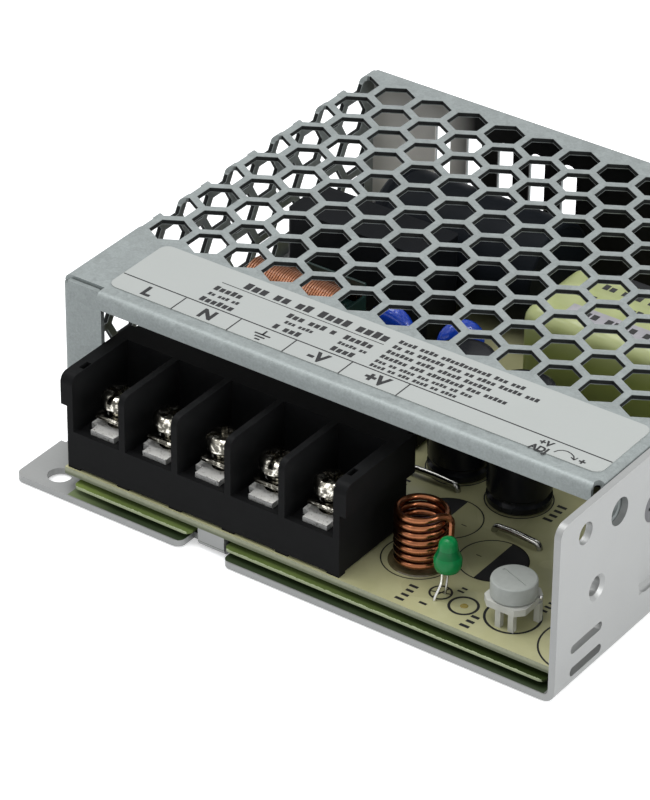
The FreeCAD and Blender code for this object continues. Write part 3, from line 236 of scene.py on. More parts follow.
def zinc_steel():
    """Galvanised steel with a faint spangle; the punched edges are dark.

    The rear wall's inside has painted light at its left end and painted shade beyond it.
    """
    tone = (0.275, 0.302, 0.298)
    finish = Finish("zinc_steel", tone, 0.45, 0.45, Specular_IOR_Level=0.2)
    patch = finish.spangle(1.3)
    cloudy = finish.grain(5.0, 4.0)
    fine = finish.grain(0.25, 3.0)
    speckle = ((finish.grain(0.42, 4.0, roughness=0.7) - 0.5) * 2.6 + 0.5).clamp(0.0, 1.0)
    share = patch * 0.25 + cloudy * 0.30 + speckle * 0.45
    sheet = finish.blend(share, shade(tone, 0.74), shade(tone, 1.24))
    top_edges = finish.band("Z", COVER_TOP - 0.70, COVER_TOP - 0.06)
    top_edges = top_edges * finish.band("Y", *MESH_TOP_Y) * finish.band("X", *MESH_TOP_X)
    side_edges = finish.band("X", COVER_LEFT + 0.08, COVER_LEFT + 0.72)
    side_edges = side_edges * finish.band("Y", *MESH_SIDE_Y) * finish.band("Z", *MESH_SIDE_Z)
    punched = (top_edges + side_edges).clamp(0.0, 1.0)
    sheet = finish.blend(punched * 0.98, sheet, (0.008, 0.009, 0.009))
    # Painted light at the left end of the rear wall's inside, painted shade beyond it.
    far_wall = finish.band("Y", COVER_REAR - 0.95, COVER_REAR - 0.5)
    far_wall = far_wall * finish.band("Z", 1.3, COVER_TOP - 0.9)
    dark = ((finish.axis("X") + 33.0) * 0.2).clamp(0.0, 1.0)
    inside = finish.blend(dark, (0.80, 0.77, 0.73), (0.008, 0.008, 0.008))
    finish.put("Base Color", finish.blend(far_wall, sheet, inside))
    finish.put("Metallic", 0.45 - far_wall * 0.45 - punched * (1.0 - far_wall) * 0.4)
    finish.put("Roughness", 0.38 + cloudy * 0.14 + patch * 0.08 + punched * 0.38)
    finish.relief(fine, 0.008)
    return finish.material


def board_resist():
    """Khaki resist with faint tracks; the sawn edge is green below."""
    tone = (0.42, 0.40, 0.22)
    finish = Finish("board_resist", tone, 0.36, 0.0, Coat_Weight=0.2, Specular_IOR_Level=0.35)
    height = finish.axis("Z")
    cloudy = finish.grain(7.0, 4.0)
    fine = finish.grain(0.5, 3.0)
    top = finish.blend(cloudy, (0.34, 0.33, 0.165), (0.59, 0.575, 0.335))
    track = finish.grain(11.0, 0.0) > 0.53
    top = finish.blend(track * 0.25, top, (0.34, 0.335, 0.17))
    edge = finish.blend(fine, (0.24, 0.26, 0.15), (0.50, 0.51, 0.36))
    lower = ((BOARD_TOP - 0.75 - height + fine * 0.5) * 2.4).clamp(0.0, 1.0)
    edge = finish.blend(lower * 0.85, edge, (0.085, 0.105, 0.045))
    finish.put("Base Color", finish.blend(height < (BOARD_TOP - 0.03), top, edge))
    finish.put("Roughness", 0.28 + fine * 0.2)
    finish.relief(fine, 0.010)
    return finish.material


def green_film():
    """Green film with painted light at its left end, painted shade towards its right end, and a
    painted highlight along its ragged cut edge in front.
    """
    finish = Finish("green_film", (0.06, 0.09, 0.02), 0.22, 0.0, Specular_IOR_Level=0.1)
    cloudy = finish.grain(6.0, 3.0)
    ragged = finish.grain(0.5, 4.0)
    # Painted light at the film's left end.
    painted_light_left_end = ((-29.0 - finish.axis("X")) * 0.09).clamp(0.0, 1.0)
    film = finish.blend(cloudy, (0.075, 0.11, 0.028), (0.17, 0.225, 0.07))
    film = finish.blend(painted_light_left_end * 0.8, film, (0.26, 0.34, 0.09))
    # Painted shade towards the film's right end.
    painted_shade_right_end = ((finish.axis("X") - 4.0) * 0.03).clamp(0.0, 0.8)
    film = finish.blend(painted_shade_right_end, film, (0.010, 0.020, 0.005))
    # Painted highlight along the ragged cut edge.
    painted_highlight_edge = (finish.axis("Y") - ragged * 0.55) < FILM_FRONT
    finish.put("Base Color", finish.blend(painted_highlight_edge * 0.85, film, (0.50, 0.56, 0.36)))
    return finish.material


def black_plastic(name, tone=(0.0075, 0.0075, 0.008), rough=0.42, gloss=0.04):
    """Moulded or shrunk plastic with a fine matt grain."""
    finish = Finish(name, tone, rough, 0.0, Specular_IOR_Level=gloss)
    fine = finish.grain(0.22, 2.0)
    cloudy = finish.grain(4.0, 3.0)
    finish.put("Base Color", finish.blend(cloudy, shade(tone, 0.75), shade(tone, 1.4)))
    finish.put("Roughness", rough - 0.06 + cloudy * 0.14)
    finish.relief(fine, 0.012)
    return finish.material


def bright_metal(name, tone, rough):
    """Drawn or plated metal with fine marks along X."""
    finish = Finish(name, tone, rough, 1.0)
    cloudy = finish.grain(1.6, 3.0)
    fine = finish.grain(0.12, 2.0, (6.0, 1.0, 1.0))
    finish.put("Base Color", finish.blend(cloudy, shade(tone, 0.80), shade(tone, 1.10)))
    finish.put("Roughness", rough + cloudy * 0.10 + fine * 0.05)
    finish.relief(fine, 0.004)
    return finish.material


def fastener_metal():
    """Bright plating of the terminals, with painted reflections: brilliant patches between dark
    ones.
    """
    finish = Finish("fastener_plating", (0.6, 0.58, 0.52), 0.16, 1.0)
    # Painted reflections: bright and dark patches over the plating.
    painted_reflection_patches = ((finish.grain(0.8, 3.0) - 0.49) * 8.0).clamp(0.0, 1.0)
    fine = finish.grain(0.12, 2.0)
    finish.put("Base Color", finish.blend(painted_reflection_patches, (0.10, 0.095, 0.08), (0.80, 0.77, 0.68)))
    finish.put("Roughness", 0.12 + fine * 0.16)
    finish.relief(fine, 0.008)
    return finish.material


def plate_metal():
    """Tinned terminal plates, white with dark specks."""
    finish = Finish("plate_tin", (0.90, 0.89, 0.85), 0.30, 0.25)
    specks = ((finish.grain(0.30, 3.0) - 0.52) * 7.0).clamp(0.0, 1.0)
    finish.put("Base Color", finish.blend(specks, (0.95, 0.94, 0.90), (0.34, 0.33, 0.30)))
    finish.put("Roughness", 0.24 + specks * 0.2)
    finish.relief(specks, 0.02)
    return finish.material


def copper_wire(name, dark, light, rough=0.16):
    """Enamelled copper between a dark and a light tone."""
    finish = Finish(name, light, rough, 1.0, Coat_Weight=0.3, Coat_Roughness=0.08)
    cloudy = finish.grain(1.2, 3.0)
    finish.put("Base Color", finish.blend(cloudy, dark, light))
    finish.put("Roughness", rough + cloudy * 0.14)
    return finish.material


def lamp_green():
    """Tinted epoxy, darker where the chip sits."""
    finish = Finish(
        "lamp_green",
        (0.005, 0.16, 0.045),
        0.16,
        Transmission_Weight=0.12,
        IOR=1.5,
        Specular_IOR_Level=0.15,
    )
    cloudy = finish.grain(1.2, 2.0)
    core = finish.band("Z", LAMP[2] + 2.6, LAMP[2] + 3.8)
    tone = finish.blend(cloudy, (0.004, 0.20, 0.050), (0.010, 0.33, 0.090))
    finish.put("Base Color", finish.blend(core * 0.5, tone, (0.003, 0.12, 0.034)))
    finish.put("Roughness", 0.12 + cloudy * 0.08)
    return finish.material


def pale_plastic(name, tone, rough=0.45):
    """Opaque, slightly cloudy plastic, ceramic or paper."""
    finish = Finish(name, tone, rough, 0.0, Specular_IOR_Level=0.35)
    cloudy = finish.grain(1.8, 3.0)
    fine = finish.grain(0.2, 2.0)
    finish.put("Base Color", finish.blend(cloudy, shade(tone, 0.82), shade(tone, 1.12)))
    finish.put("Roughness", rough - 0.05 + fine * 0.12)
    finish.relief(fine, 0.008)
    return finish.material


def winding_tape():
    """Yellow green tape, lighter on top with painted shade lower down, with the laps showing."""
    tone = (0.50, 0.56, 0.19)
    finish = Finish("winding_tape", tone, 0.30, Coat_Weight=0.2, Coat_Roughness=0.15)
    cloudy = finish.grain(5.0, 3.0)
    streak = finish.grain(0.8, 3.0, (20.0, 1.0, 1.0))
    top = finish.blend(cloudy * 0.6 + streak * 0.4, (0.50, 0.56, 0.20), (0.65, 0.70, 0.36))
    # Painted shade on the tape's lower part.
    low = (TAPE_TOP - 1.0 - finish.axis("Z")).clamp(0.0, 5.0) * 0.17
    finish.put("Base Color", finish.blend(low, top, (0.27, 0.32, 0.065)))
    finish.put("Roughness", 0.24 + cloudy * 0.16)
    finish.relief(finish.laps(0.055), 0.05)
    return finish.material


def dipped(name, tone):
    """Uneven glossy coating of a dipped part."""
    finish = Finish(name, tone, 0.22, 0.0, Coat_Weight=0.5, Coat_Roughness=0.1)
    cloudy = finish.grain(2.2, 3.0)
    finish.put("Base Color", finish.blend(cloudy, shade(tone, 0.75), shade(tone, 1.25)))
    finish.relief(cloudy, 0.05)
    return finish.material


def label_film():
    """Silver grey label film."""
    tone = (0.395, 0.412, 0.395)
    finish = Finish("label_film", tone, 0.42, 0.0, Specular_IOR_Level=0.3)
    fine = finish.grain(0.3, 3.0)
    cloudy = finish.grain(14.0, 2.0)
    share = cloudy * 0.6 + fine * 0.4
    finish.put("Base Color", finish.blend(share, shade(tone, 0.94), shade(tone, 1.05)))
    finish.put("Roughness", 0.36 + fine * 0.10)
    return finish.material


def print_ink(name, tone):
    """Printing ink, worn in fine spots."""
    finish = Finish(name, tone, 0.5, 0.0, Specular_IOR_Level=0.25)
    worn = finish.grain(0.15, 2.0)
    finish.put("Base Color", finish.blend(worn, shade(tone, 0.7), shade(tone, 1.8)))
    return finish.material


def resin(name, dark, light):
    """Glassy drop of resin or flux, clouded by what lies under it."""
    finish = Finish(name, light, 0.15, 0.0, Coat_Weight=0.4)
    cloudy = finish.grain(1.0, 4.0)
    finish.put("Base Color", finish.blend(cloudy, dark, light))
    finish.relief(cloudy, 0.08)
    return finish.material


aluminium = aluminium_sheet()
zinc = zinc_steel()
nickel = fastener_metal()
plate_tin = plate_metal()
tinned = bright_metal("tinned_wire", (0.70, 0.70, 0.68), 0.20)
blackened = bright_metal("blackened_steel", (0.10, 0.10, 0.105), 0.34)
moulded_black = black_plastic("moulded_black")
case_black = black_plastic("block_black", (0.0085, 0.0087, 0.0090), 0.40)
sleeve_black = black_plastic("sleeve_black", (0.007, 0.008, 0.011), 0.24, 0.25)
can_black = black_plastic("can_black", (0.007, 0.009, 0.012), 0.50, 0.08)
# A darker copy of the tinned wire: painted shade on the jumpers and the long lamp lead.
shaded_tinned_wire = bright_metal("shaded_tinned_wire", (0.42, 0.42, 0.40), 0.12)
copper = copper_wire("copper_wire", (0.13, 0.038, 0.015), (0.40, 0.155, 0.065))
pale_copper = copper_wire("choke_copper", (0.20, 0.085, 0.045), (0.39, 0.185, 0.105), 0.34)
ink = print_ink("print_ink", (0.012, 0.012, 0.013))
grey_ink = print_ink("grey_ink", (0.045, 0.045, 0.047))

PAINT = {
    "chassis": aluminium,
    "mesh_cover": zinc,
    "circuit_board": board_resist(),
    "insulating_film": green_film(),
    "terminal_housing": case_black,
    "led_lens": lamp_green(),
    "trimmer_base": pale_plastic("trimmer_base_plastic", (0.62, 0.62, 0.57)),
    "trimmer_knob": pale_plastic("trimmer_knob_plastic", (0.44, 0.46, 0.43), 0.5),
    "output_coil": copper,
    "bulk_capacitor": can_black,
    "film_capacitor": black_plastic("film_box_black", (0.008, 0.009, 0.011), 0.45, 0.08),
    "choke_core": black_plastic("choke_dark_green", (0.010, 0.030, 0.026), 0.34, 0.4),
    "transformer_winding": winding_tape(),
    "transformer_core": pale_plastic("ferrite", (0.030, 0.031, 0.034), 0.5),
    "disc_capacitor_1": dipped("dipped_blue", (0.008, 0.060, 0.52)),
    "thermistor": dipped("dipped_green", (0.02, 0.05, 0.03)),
    "input_fuse": pale_plastic("fuse_ceramic", (0.62, 0.60, 0.54), 0.3),
    "output_diode_pad": pale_plastic("thermal_pad", (0.33, 0.34, 0.36), 0.6),
    "rating_label": label_film(),
}
PAINT["disc_capacitor_2"] = PAINT["disc_capacitor_1"]
PAINT["power_transistor_pad"] = PAINT["output_diode_pad"]
MOULDED = ("transformer_bobbin", "bridge_rectifier", "control_chip", "optocoupler")
MOULDED += ("output_diode", "power_transistor")
for name in MOULDED:
    PAINT[name] = moulded_black
for name in ("led_lead_short", "led_lead_long"):
    PAINT[name] = tinned
for number in range(1, 3):
    PAINT["output_capacitor_%d" % number] = sleeve_black
    PAINT["choke_winding_%d" % number] = pale_copper
    PAINT["wall_screw_%d" % number] = blackened
    for name in ("jumper_wire", "board_post", "wall_nut"):
        PAINT["%s_%d" % (name, number)] = tinned
    for name in ("board_screw", "cover_screw"):
        PAINT["%s_%d" % (name, number)] = nickel
for number in range(1, 6):
    PAINT["terminal_plate_%d" % number] = plate_tin
    PAINT["clamp_washer_%d" % number] = nickel
    PAINT["terminal_screw_%d" % number] = nickel


def coat(piece, material):
    """Give a piece one material."""
    piece.data.materials.clear()
    piece.data.materials.append(material)


for name, material in PAINT.items():
    coat(nodes[name], material)


def clear():
    """Deselect everything."""
    bpy.ops.object.select_all(action="DESELECT")


def pick(piece):
    """Select one piece alone and make it active."""
    clear()
    piece.select_set(True)
    bpy.context.view_layer.objects.active = piece


def finished(piece, name, material, body="case", stands_for=(), angle=30.0):
    """Name and coat a piece, and set the body it rides on and the nodes it stands for."""
    bpy.ops.object.mode_set(mode="OBJECT")
    pick(piece)
    bpy.ops.object.transform_apply(location=True, rotation=True, scale=True)
    bpy.ops.object.shade_smooth_by_angle(angle=math.radians(angle))
    piece.name = name
    coat(piece, material)
    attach(piece, body)
    if stands_for:
        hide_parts(*stands_for)


def apply_modifiers(piece):
    pick(piece)
    for modifier in list(piece.modifiers):
        bpy.ops.object.modifier_apply(modifier=modifier.name)


def bevel(piece, width, segments, angle):
    """Round the edges that are sharper than the angle."""
    modifier = piece.modifiers.new("edges", "BEVEL")
    modifier.width = width * MM
    modifier.segments = segments
    modifier.limit_method = "ANGLE"
    modifier.angle_limit = math.radians(angle)
    apply_modifiers(piece)


def turned(rings, sides=40):
    """Round piece standing on the origin: a disc drawn up and resized ring by ring."""
    clear()
    radius, height = rings[0]
    bpy.ops.mesh.primitive_circle_add(
        vertices=sides, radius=radius * MM, fill_type="NGON", location=(0, 0, height * MM)
    )
    piece = bpy.context.object
    bpy.ops.object.mode_set(mode="EDIT")
    bpy.ops.mesh.select_all(action="SELECT")
    for wide, high in rings[1:]:
        bpy.ops.mesh.extrude_region_move(
            TRANSFORM_OT_translate={"value": (0, 0, (high - height) * MM)}
        )
        bpy.ops.transform.resize(
            value=(wide / radius, wide / radius, 1), center_override=(0, 0, high * MM)
        )
        radius, height = wide, high
    bpy.ops.mesh.select_all(action="SELECT")
    bpy.ops.mesh.normals_make_consistent(inside=False)
    bpy.ops.object.mode_set(mode="OBJECT")
    pick(piece)
    bpy.ops.object.transform_apply(location=True, rotation=True, scale=True)
    return piece


def block(low, high):
    """Block between two corners."""
    clear()
    size = [(b - a) * MM for a, b in zip(low, high)]
    middle = [(a + b) * MM / 2 for a, b in zip(low, high)]
    bpy.ops.mesh.primitive_cube_add(size=1, location=middle)
    piece = bpy.context.object
    piece.scale = size
    bpy.ops.object.transform_apply(location=True, rotation=True, scale=True)
    return piece


def moved(piece, spot, turn=None):
    """Turn a piece's mesh about the origin, then move it to the spot."""
    shift = Matrix.Translation([value * MM for value in spot])
    if turn is not None:
        shift = shift @ turn
    piece.data.transform(shift)
    return piece


def carve(piece, tool):
    """Cut a tool's shape out of a piece."""
    modifier = piece.modifiers.new("carve", "BOOLEAN")
    modifier.operation = "DIFFERENCE"
    modifier.solver = "EXACT"
    modifier.object = tool
    apply_modifiers(piece)
    bpy.data.objects.remove(tool)


def join(pieces):
    """Make several meshes one piece."""
    clear()
    for piece in pieces:
        piece.select_set(True)
    bpy.context.view_layer.objects.active = pieces[0]
    bpy.ops.object.join()
    return bpy.context.object


def wound(mean, radius, pitch, turns, sides, steps):
    """Round wire wound up the Z axis from height 0, its ends closed."""
    clear()
    bpy.ops.mesh.primitive_circle_add(
        vertices=sides,
        radius=radius * MM,
        fill_type="NGON",
        location=(mean * MM, 0, 0),
        rotation=(math.pi / 2, 0, 0),
    )
    piece = bpy.context.object
    bpy.ops.object.transform_apply(location=True, rotation=True, scale=True)
    screw = piece.modifiers.new("wind", "SCREW")
    screw.axis = "Z"
    screw.angle = math.tau * turns
    screw.screw_offset = pitch * turns * MM
    screw.steps = screw.render_steps = int(steps * turns)
    screw.use_merge_vertices = False
    apply_modifiers(piece)
    bpy.ops.object.mode_set(mode="EDIT")
    bpy.ops.mesh.select_all(action="SELECT")
    bpy.ops.mesh.remove_doubles(threshold=0.000001)
    bpy.ops.mesh.select_all(action="DESELECT")
    bpy.ops.mesh.select_non_manifold()
    bpy.ops.mesh.edge_face_add()
    bpy.ops.mesh.select_all(action="SELECT")
    bpy.ops.mesh.normals_make_consistent(inside=False)
    bpy.ops.object.mode_set(mode="OBJECT")
    return piece


def wire(spots, radius, sides=2):
    """Round wire along a smooth line between the given places, its ends closed."""
    line = bpy.data.curves.new("line", "CURVE")
    line.dimensions = "3D"
    line.bevel_depth = radius * MM
    line.bevel_resolution = sides
    line.use_fill_caps = True
    spline = line.splines.new("NURBS")
    spline.points.add(len(spots) - 1)
    for point, spot in zip(spline.points, spots):
        point.co = (*[value * MM for value in spot], 1.0)
    spline.order_u = 3
    spline.use_endpoint_u = True
    piece = bpy.data.objects.new("line", line)
    bpy.context.collection.objects.link(piece)
    pick(piece)
    bpy.ops.object.convert(target="MESH")
    return bpy.context.object


def copy_of(piece):
    """A copy with a mesh of its own."""
    twin = piece.copy()
    twin.data = piece.data.copy()
    bpy.context.collection.objects.link(twin)
    return twin


# Turns that lay an upright piece along Y or along X.
LYING_Y = Matrix.Rotation(-math.pi / 2, 4, "X")
LYING_X = Matrix.Rotation(math.pi / 2, 4, "Y")

# Angles between faces, in degrees: edges below one are shaded smooth, above ROUND bevelled.
SMOOTH = 50
ROUND = 60

# Terminal screws: domed heads with a slot and a cross, over a threaded rod.
HEAD_SIDE = [(2.62, 14.7), (2.88, 14.85), (2.9, 15.75)]
HEAD_DOME = [(2.75, 16.25), (2.35, 16.62), (1.75, 16.76)]
screw_head = turned(HEAD_SIDE + HEAD_DOME, 36)
carve(screw_head, block((-3.2, -0.42, 15.9), (3.2, 0.42, 17.2)))
carve(screw_head, block((-0.42, -1.9, 15.5), (0.42, 1.9, 17.2)))
ROD = 1.5
THREAD_PITCH = 0.6
screw_rod = turned([(1.2, 6.5), (ROD, 6.8), (ROD, 14.72)], 24)
thread = moved(wound(ROD, 0.25, THREAD_PITCH, 12, 6, 20), (0, 0, 7.0))
screw = join([screw_head, screw_rod, thread])

# Square washers with a round hole for the rod.
HALF_WASHER = 2.75
washer = block((-HALF_WASHER, -HALF_WASHER, 12.5), (HALF_WASHER, HALF_WASHER, 13.3))
bevel(washer, 0.25, 3, ROUND)
carve(washer, turned([(2.05, 12.0), (2.05, 14.0)], 32))
for number, x in enumerate(BAYS, start=1):
    body = "terminal_%d_" % number
    twin = moved(copy_of(screw), (x, SCREW_Y, 0), Matrix.Rotation(0.5 + 1.1 * number, 4, "Z"))
    stands_for = ["terminal_screw_%d" % number]
    finished(twin, "screw_%d_detail" % number, nickel, body + "screw", stands_for)
    twin = moved(copy_of(washer), (x, SCREW_Y, 0))
    stands_for = ["clamp_washer_%d" % number]
    finished(twin, "washer_%d_detail" % number, nickel, body + "washer", stands_for)
bpy.data.objects.remove(screw)
bpy.data.objects.remove(washer)

# Output coil: close turns, the upper end led down outside to the board.
COIL = (17.1, -36.7, 5.05)
COIL_MEAN = 3.65
COIL_WIRE = 0.52
COIL_PITCH = 1.32
COIL_TURNS = 6.94
coil_turns = wound(COIL_MEAN, COIL_WIRE, COIL_PITCH, COIL_TURNS, 12, 36)
end = math.tau * COIL_TURNS
past = end + 0.25
top = COIL_PITCH * COIL_TURNS
leg_line = [
    (COIL_MEAN * math.cos(end), COIL_MEAN * math.sin(end), top),
    (COIL_MEAN * math.cos(past) + 0.2, COIL_MEAN * math.sin(past), top + 0.15),
    (COIL_MEAN + 1.25, 0.4, top - 0.5),
    (COIL_MEAN + 1.3, 0.2, top - 2.5),
    (COIL_MEAN + 1.1, 0.0, -0.4),
]
coil = moved(join([coil_turns, wire(leg_line, COIL_WIRE)]), COIL)
finished(coil, "coil_of_wire", copper, "case", ["output_coil"])
# A thin dark glassy disc under the coil's foot.
dark_coil_disc = resin("coil_dark_disc", (0.05, 0.04, 0.018), (0.17, 0.14, 0.07))
coil_foot = turned([(4.6, 0), (4.5, 0.22), (4.0, 0.38), (1.0, 0.30)], 40)
finished(moved(coil_foot, (COIL[0] - 0.6, COIL[1] + 0.3, BOARD_TOP)), "coil_dark_disc", dark_coil_disc)

# Lamp lens: rounded foot, straight skirt, tapered neck and dome.
LENS_FOOT = [(1.45, 0), (1.85, 0.25), (2.08, 0.9), (2.1, 2.1), (1.9, 2.6)]
LENS_DOME = [(1.5, 3.5), (1.45, 4.1), (1.32, 4.8), (1.0, 5.25), (0.55, 5.5), (0.1, 5.58)]
lens = moved(turned(LENS_FOOT + LENS_DOME, 32), LAMP)
finished(lens, "lamp_lens", PAINT["led_lens"], "case", ["led_lens"], SMOOTH)

# Its leads are kinked above the board.
SHORT_LEAD = [(24.5, -42.3, 9.2), (24.5, -42.3, 7.6), (24.45, -42.55, 6.6), (24.2, -43.5, 5.2)]
SHORT_LEAD += [(24.15, -43.7, BOARD_TOP)]
LONG_LEAD = [(24.4, -40.6, 9.2), (24.4, -40.7, 7.0), (24.5, -41.2, 5.6), (24.5, -41.4, BOARD_TOP)]
lead = wire(SHORT_LEAD, 0.24)
finished(lead, "lamp_lead_short_bent", tinned, "case", ["led_lead_short"], SMOOTH)
# The long lead gets the darker wire: painted shade.
lead = wire(LONG_LEAD, 0.2)
finished(lead, "lamp_lead_long_bent", shaded_tinned_wire, "case", ["led_lead_long"], SMOOTH)

# Wire jumpers across the board: start, stop and height of the arch.
JUMPER_WIRE = 0.52
JUMPERS = (((2.4, -18.4), (11.2, -18.4), 1.15), ((21.3, -23.8), (29.4, -24.0), 1.0))
for number, (start, stop, rise) in enumerate(JUMPERS, start=1):
    high = BOARD_TOP + rise
    arch = [
        (start[0], start[1], BOARD_TOP),
        (start[0] + 0.15, start[1], high - 0.1),
        (start[0] + 1.4, start[1], high),
        ((start[0] + stop[0]) / 2, (start[1] + stop[1]) / 2, high + 0.15),
        (stop[0] - 1.4, stop[1], high),
        (stop[0] - 0.15, stop[1], high - 0.1),
        (stop[0], stop[1], BOARD_TOP),
    ]
    jumper = wire(arch, JUMPER_WIRE, 3)
    stands_for = ["jumper_wire_%d" % number]
    # The jumpers get the darker wire: painted shade.
    finished(jumper, "jumper_%d_round" % number, shaded_tinned_wire, "case", stands_for, SMOOTH)

# Trimmer knob with a softened rim and a shallow slot.
KNOB_SIDE = [(3.25, 8.55), (3.45, 8.75), (3.45, 11.0)]
KNOB_TOP = [(3.38, 11.25), (3.2, 11.38), (0.2, 11.4)]
knob = turned(KNOB_SIDE + KNOB_TOP, 48)
slot = block((-2.6, -0.22, 11.25), (2.6, 0.22, 12.0))
carve(knob, moved(slot, (0, 0, 0), Matrix.Rotation(-0.35, 4, "Z")))
moved(knob, (*TRIMMER, 0))
finished(knob, "trimmer_knob_detail", PAINT["trimmer_knob"], "trimmer", ["trimmer_knob"])
end_stop = turned([(0.1, -0.34), (0.28, -0.22), (0.36, 0), (0.28, 0.22), (0.1, 0.34)], 16)
finished(moved(end_stop, (39.15, -38.9, 8.6)), "trimmer_end_stop", tinned, "case", (), ROUND)


def can(radius, length):
    """Shrunk sleeve over a can: rolled ends, and a groove near the foot."""
    rings = [(radius - 1.0, 0), (radius - 0.35, 0.05), (radius, 0.5), (radius, 1.3)]
    rings += [(radius - 0.45, 1.75), (radius - 0.45, 2.1), (radius, 2.6)]
    rings += [(radius, length - 0.6), (radius - 0.2, length - 0.2), (radius - 0.6, length)]
    rings += [(radius - 0.75, length - 0.15)]
    return turned(rings, 48)


for number, (x, y) in enumerate(OUTPUT_CANS, start=1):
    upright = moved(can(5.0, 20.0), (x, y, BOARD_TOP))
    stands_for = ["output_capacitor_%d" % number]
    finished(upright, "output_can_%d" % number, sleeve_black, "case", stands_for)

BULK_RADIUS = 9.0
lying = can(BULK_RADIUS, 31.0)
moved(lying, (-33.5, 29.8, BOARD_TOP + BULK_RADIUS), LYING_X)
finished(lying, "bulk_can", can_black, "case", ["bulk_capacitor"])

# Twin choke: two windings, each with its place and mean radius, on a dark green bobbin.
CHOKE_LEFT, CHOKE_RIGHT = -39.6, -21.5
CHOKE_AXIS = 14.4
CHOKE_WINDINGS = ((-0.7, 4.2), (-9.4, 3.3))
TRAY_LOW, TRAY_TOP = 6.0, 8.4
for number, (y, mean) in enumerate(CHOKE_WINDINGS, start=1):
    turns = wound(mean, 0.26, 0.46, 38.5, 6, 20)
    moved(turns, (CHOKE_LEFT + 0.3, y, CHOKE_AXIS), LYING_X)
    finished(turns, "choke_wire_%d" % number, pale_copper, "case", ["choke_winding_%d" % number])
choke_parts = [
    block((CHOKE_LEFT - 0.4, -13.6, TRAY_LOW), (CHOKE_RIGHT + 0.4, 3.7, TRAY_TOP)),
    block((CHOKE_LEFT + 6.0, 3.3, TRAY_TOP), (CHOKE_RIGHT + 0.4, 3.8, 18.5)),
    block((CHOKE_LEFT - 0.4, -5.4, TRAY_TOP), (CHOKE_RIGHT + 0.4, -4.8, 15.6)),
    block((CHOKE_LEFT - 0.6, -12.6, TRAY_TOP), (CHOKE_LEFT, 3.2, 16.4)),
    block((CHOKE_RIGHT, -12.6, TRAY_TOP), (CHOKE_RIGHT + 0.6, 3.2, 16.4)),
]
for y in (-0.7, -9.2):
    rod = turned([(2.6, 0), (2.6, CHOKE_RIGHT - CHOKE_LEFT)], 24)
    choke_parts.append(moved(rod, (CHOKE_LEFT, y, CHOKE_AXIS), LYING_X))
for x in (CHOKE_LEFT + 0.1, CHOKE_RIGHT - 0.9):
    for y in (-13.0, 2.2):
        choke_parts.append(block((x, y, BOARD_TOP), (x + 0.8, y + 0.8, TRAY_LOW)))
choke = join(choke_parts)
bevel(choke, 0.15, 2, ROUND)
finished(choke, "choke_bobbin", PAINT["choke_core"], "case", ["choke_core"])

# Transformer: rounded tape over the winding, a ferrite foot under its front, ferrite behind.
tape = block((6.3, 4.6, 8.6), (34.6, 21.4, TAPE_TOP))
bevel(tape, 2.4, 5, ROUND)
tape_paint = PAINT["transformer_winding"]
finished(tape, "transformer_tape", tape_paint, "case", ["transformer_winding"], ROUND)
front_block = block((11.4, 5.2, 7.6), (31.0, 8.0, 19.6))
rear_block = block((11.4, 20.6, 9.4), (31.0, 24.6, 21.6))
ferrite = join([front_block, rear_block])
bevel(ferrite, 0.4, 2, ROUND)
finished(ferrite, "transformer_ferrite", PAINT["transformer_core"], "case", ["transformer_core"])

# Dipped discs with soft rims on two legs: name, place, radius, height of the foot, turn.
DISC_RIM = ((0.55, -1.4), (0.85, -1.2), (0.97, -0.6), (1, 0), (0.97, 0.6), (0.85, 1.2), (0.55, 1.4))
LEG = 0.5
for name, (x, y), radius, lift, turn in (
    ("disc_capacitor_1", (-12.0, -2.6), 4.2, 7.9, 0),
    ("disc_capacitor_2", (-1.3, 0.4), 3.8, 8.4, 50),
    ("thermistor", (-13.6, -10.4), 3.8, 2.6, 0),
):
    disc = turned([(radius * wide, high) for wide, high in DISC_RIM], 32)
    legs = [
        block((dx, -LEG / 2, -radius - lift), (dx + LEG, LEG / 2, 1.4 - radius))
        for dx in (-2.4, 1.9)
    ]
    moved(disc, (0, 0, 0), LYING_Y)
    disc = join([disc] + legs)
    moved(disc, (x, y, BOARD_TOP + lift + radius), Matrix.Rotation(math.radians(turn), 4, "Z"))
    finished(disc, name + "_detail", PAINT[name], "case", [name], SMOOTH)


# Print on the label and the board.
def mark(text, x, y, z, size, bold):
    """Flat lettering whose middle lies at x, y."""
    clear()
    bpy.ops.object.text_add(location=(x * MM, y * MM, z * MM))
    words = bpy.context.object
    words.data.body = text
    words.data.size = size * MM
    words.data.align_x = "CENTER"
    words.data.align_y = "CENTER"
    words.data.offset = bold * MM
    bpy.ops.object.convert(target="MESH")
    piece = bpy.context.object
    bpy.ops.object.transform_apply(location=True, rotation=True, scale=True)
    return piece


def bar(x0, y0, x1, y1, width, z):
    """Straight printed line."""
    clear()
    length = math.hypot(x1 - x0, y1 - y0)
    bpy.ops.mesh.primitive_plane_add(size=1, location=(0, 0, 0))
    piece = bpy.context.object
    piece.scale = (length * MM, width * MM, 1)
    bpy.ops.object.transform_apply(location=True, rotation=True, scale=True)
    turn = Matrix.Rotation(math.atan2(y1 - y0, x1 - x0), 4, "Z")
    return moved(piece, ((x0 + x1) / 2, (y0 + y1) / 2, z), turn)


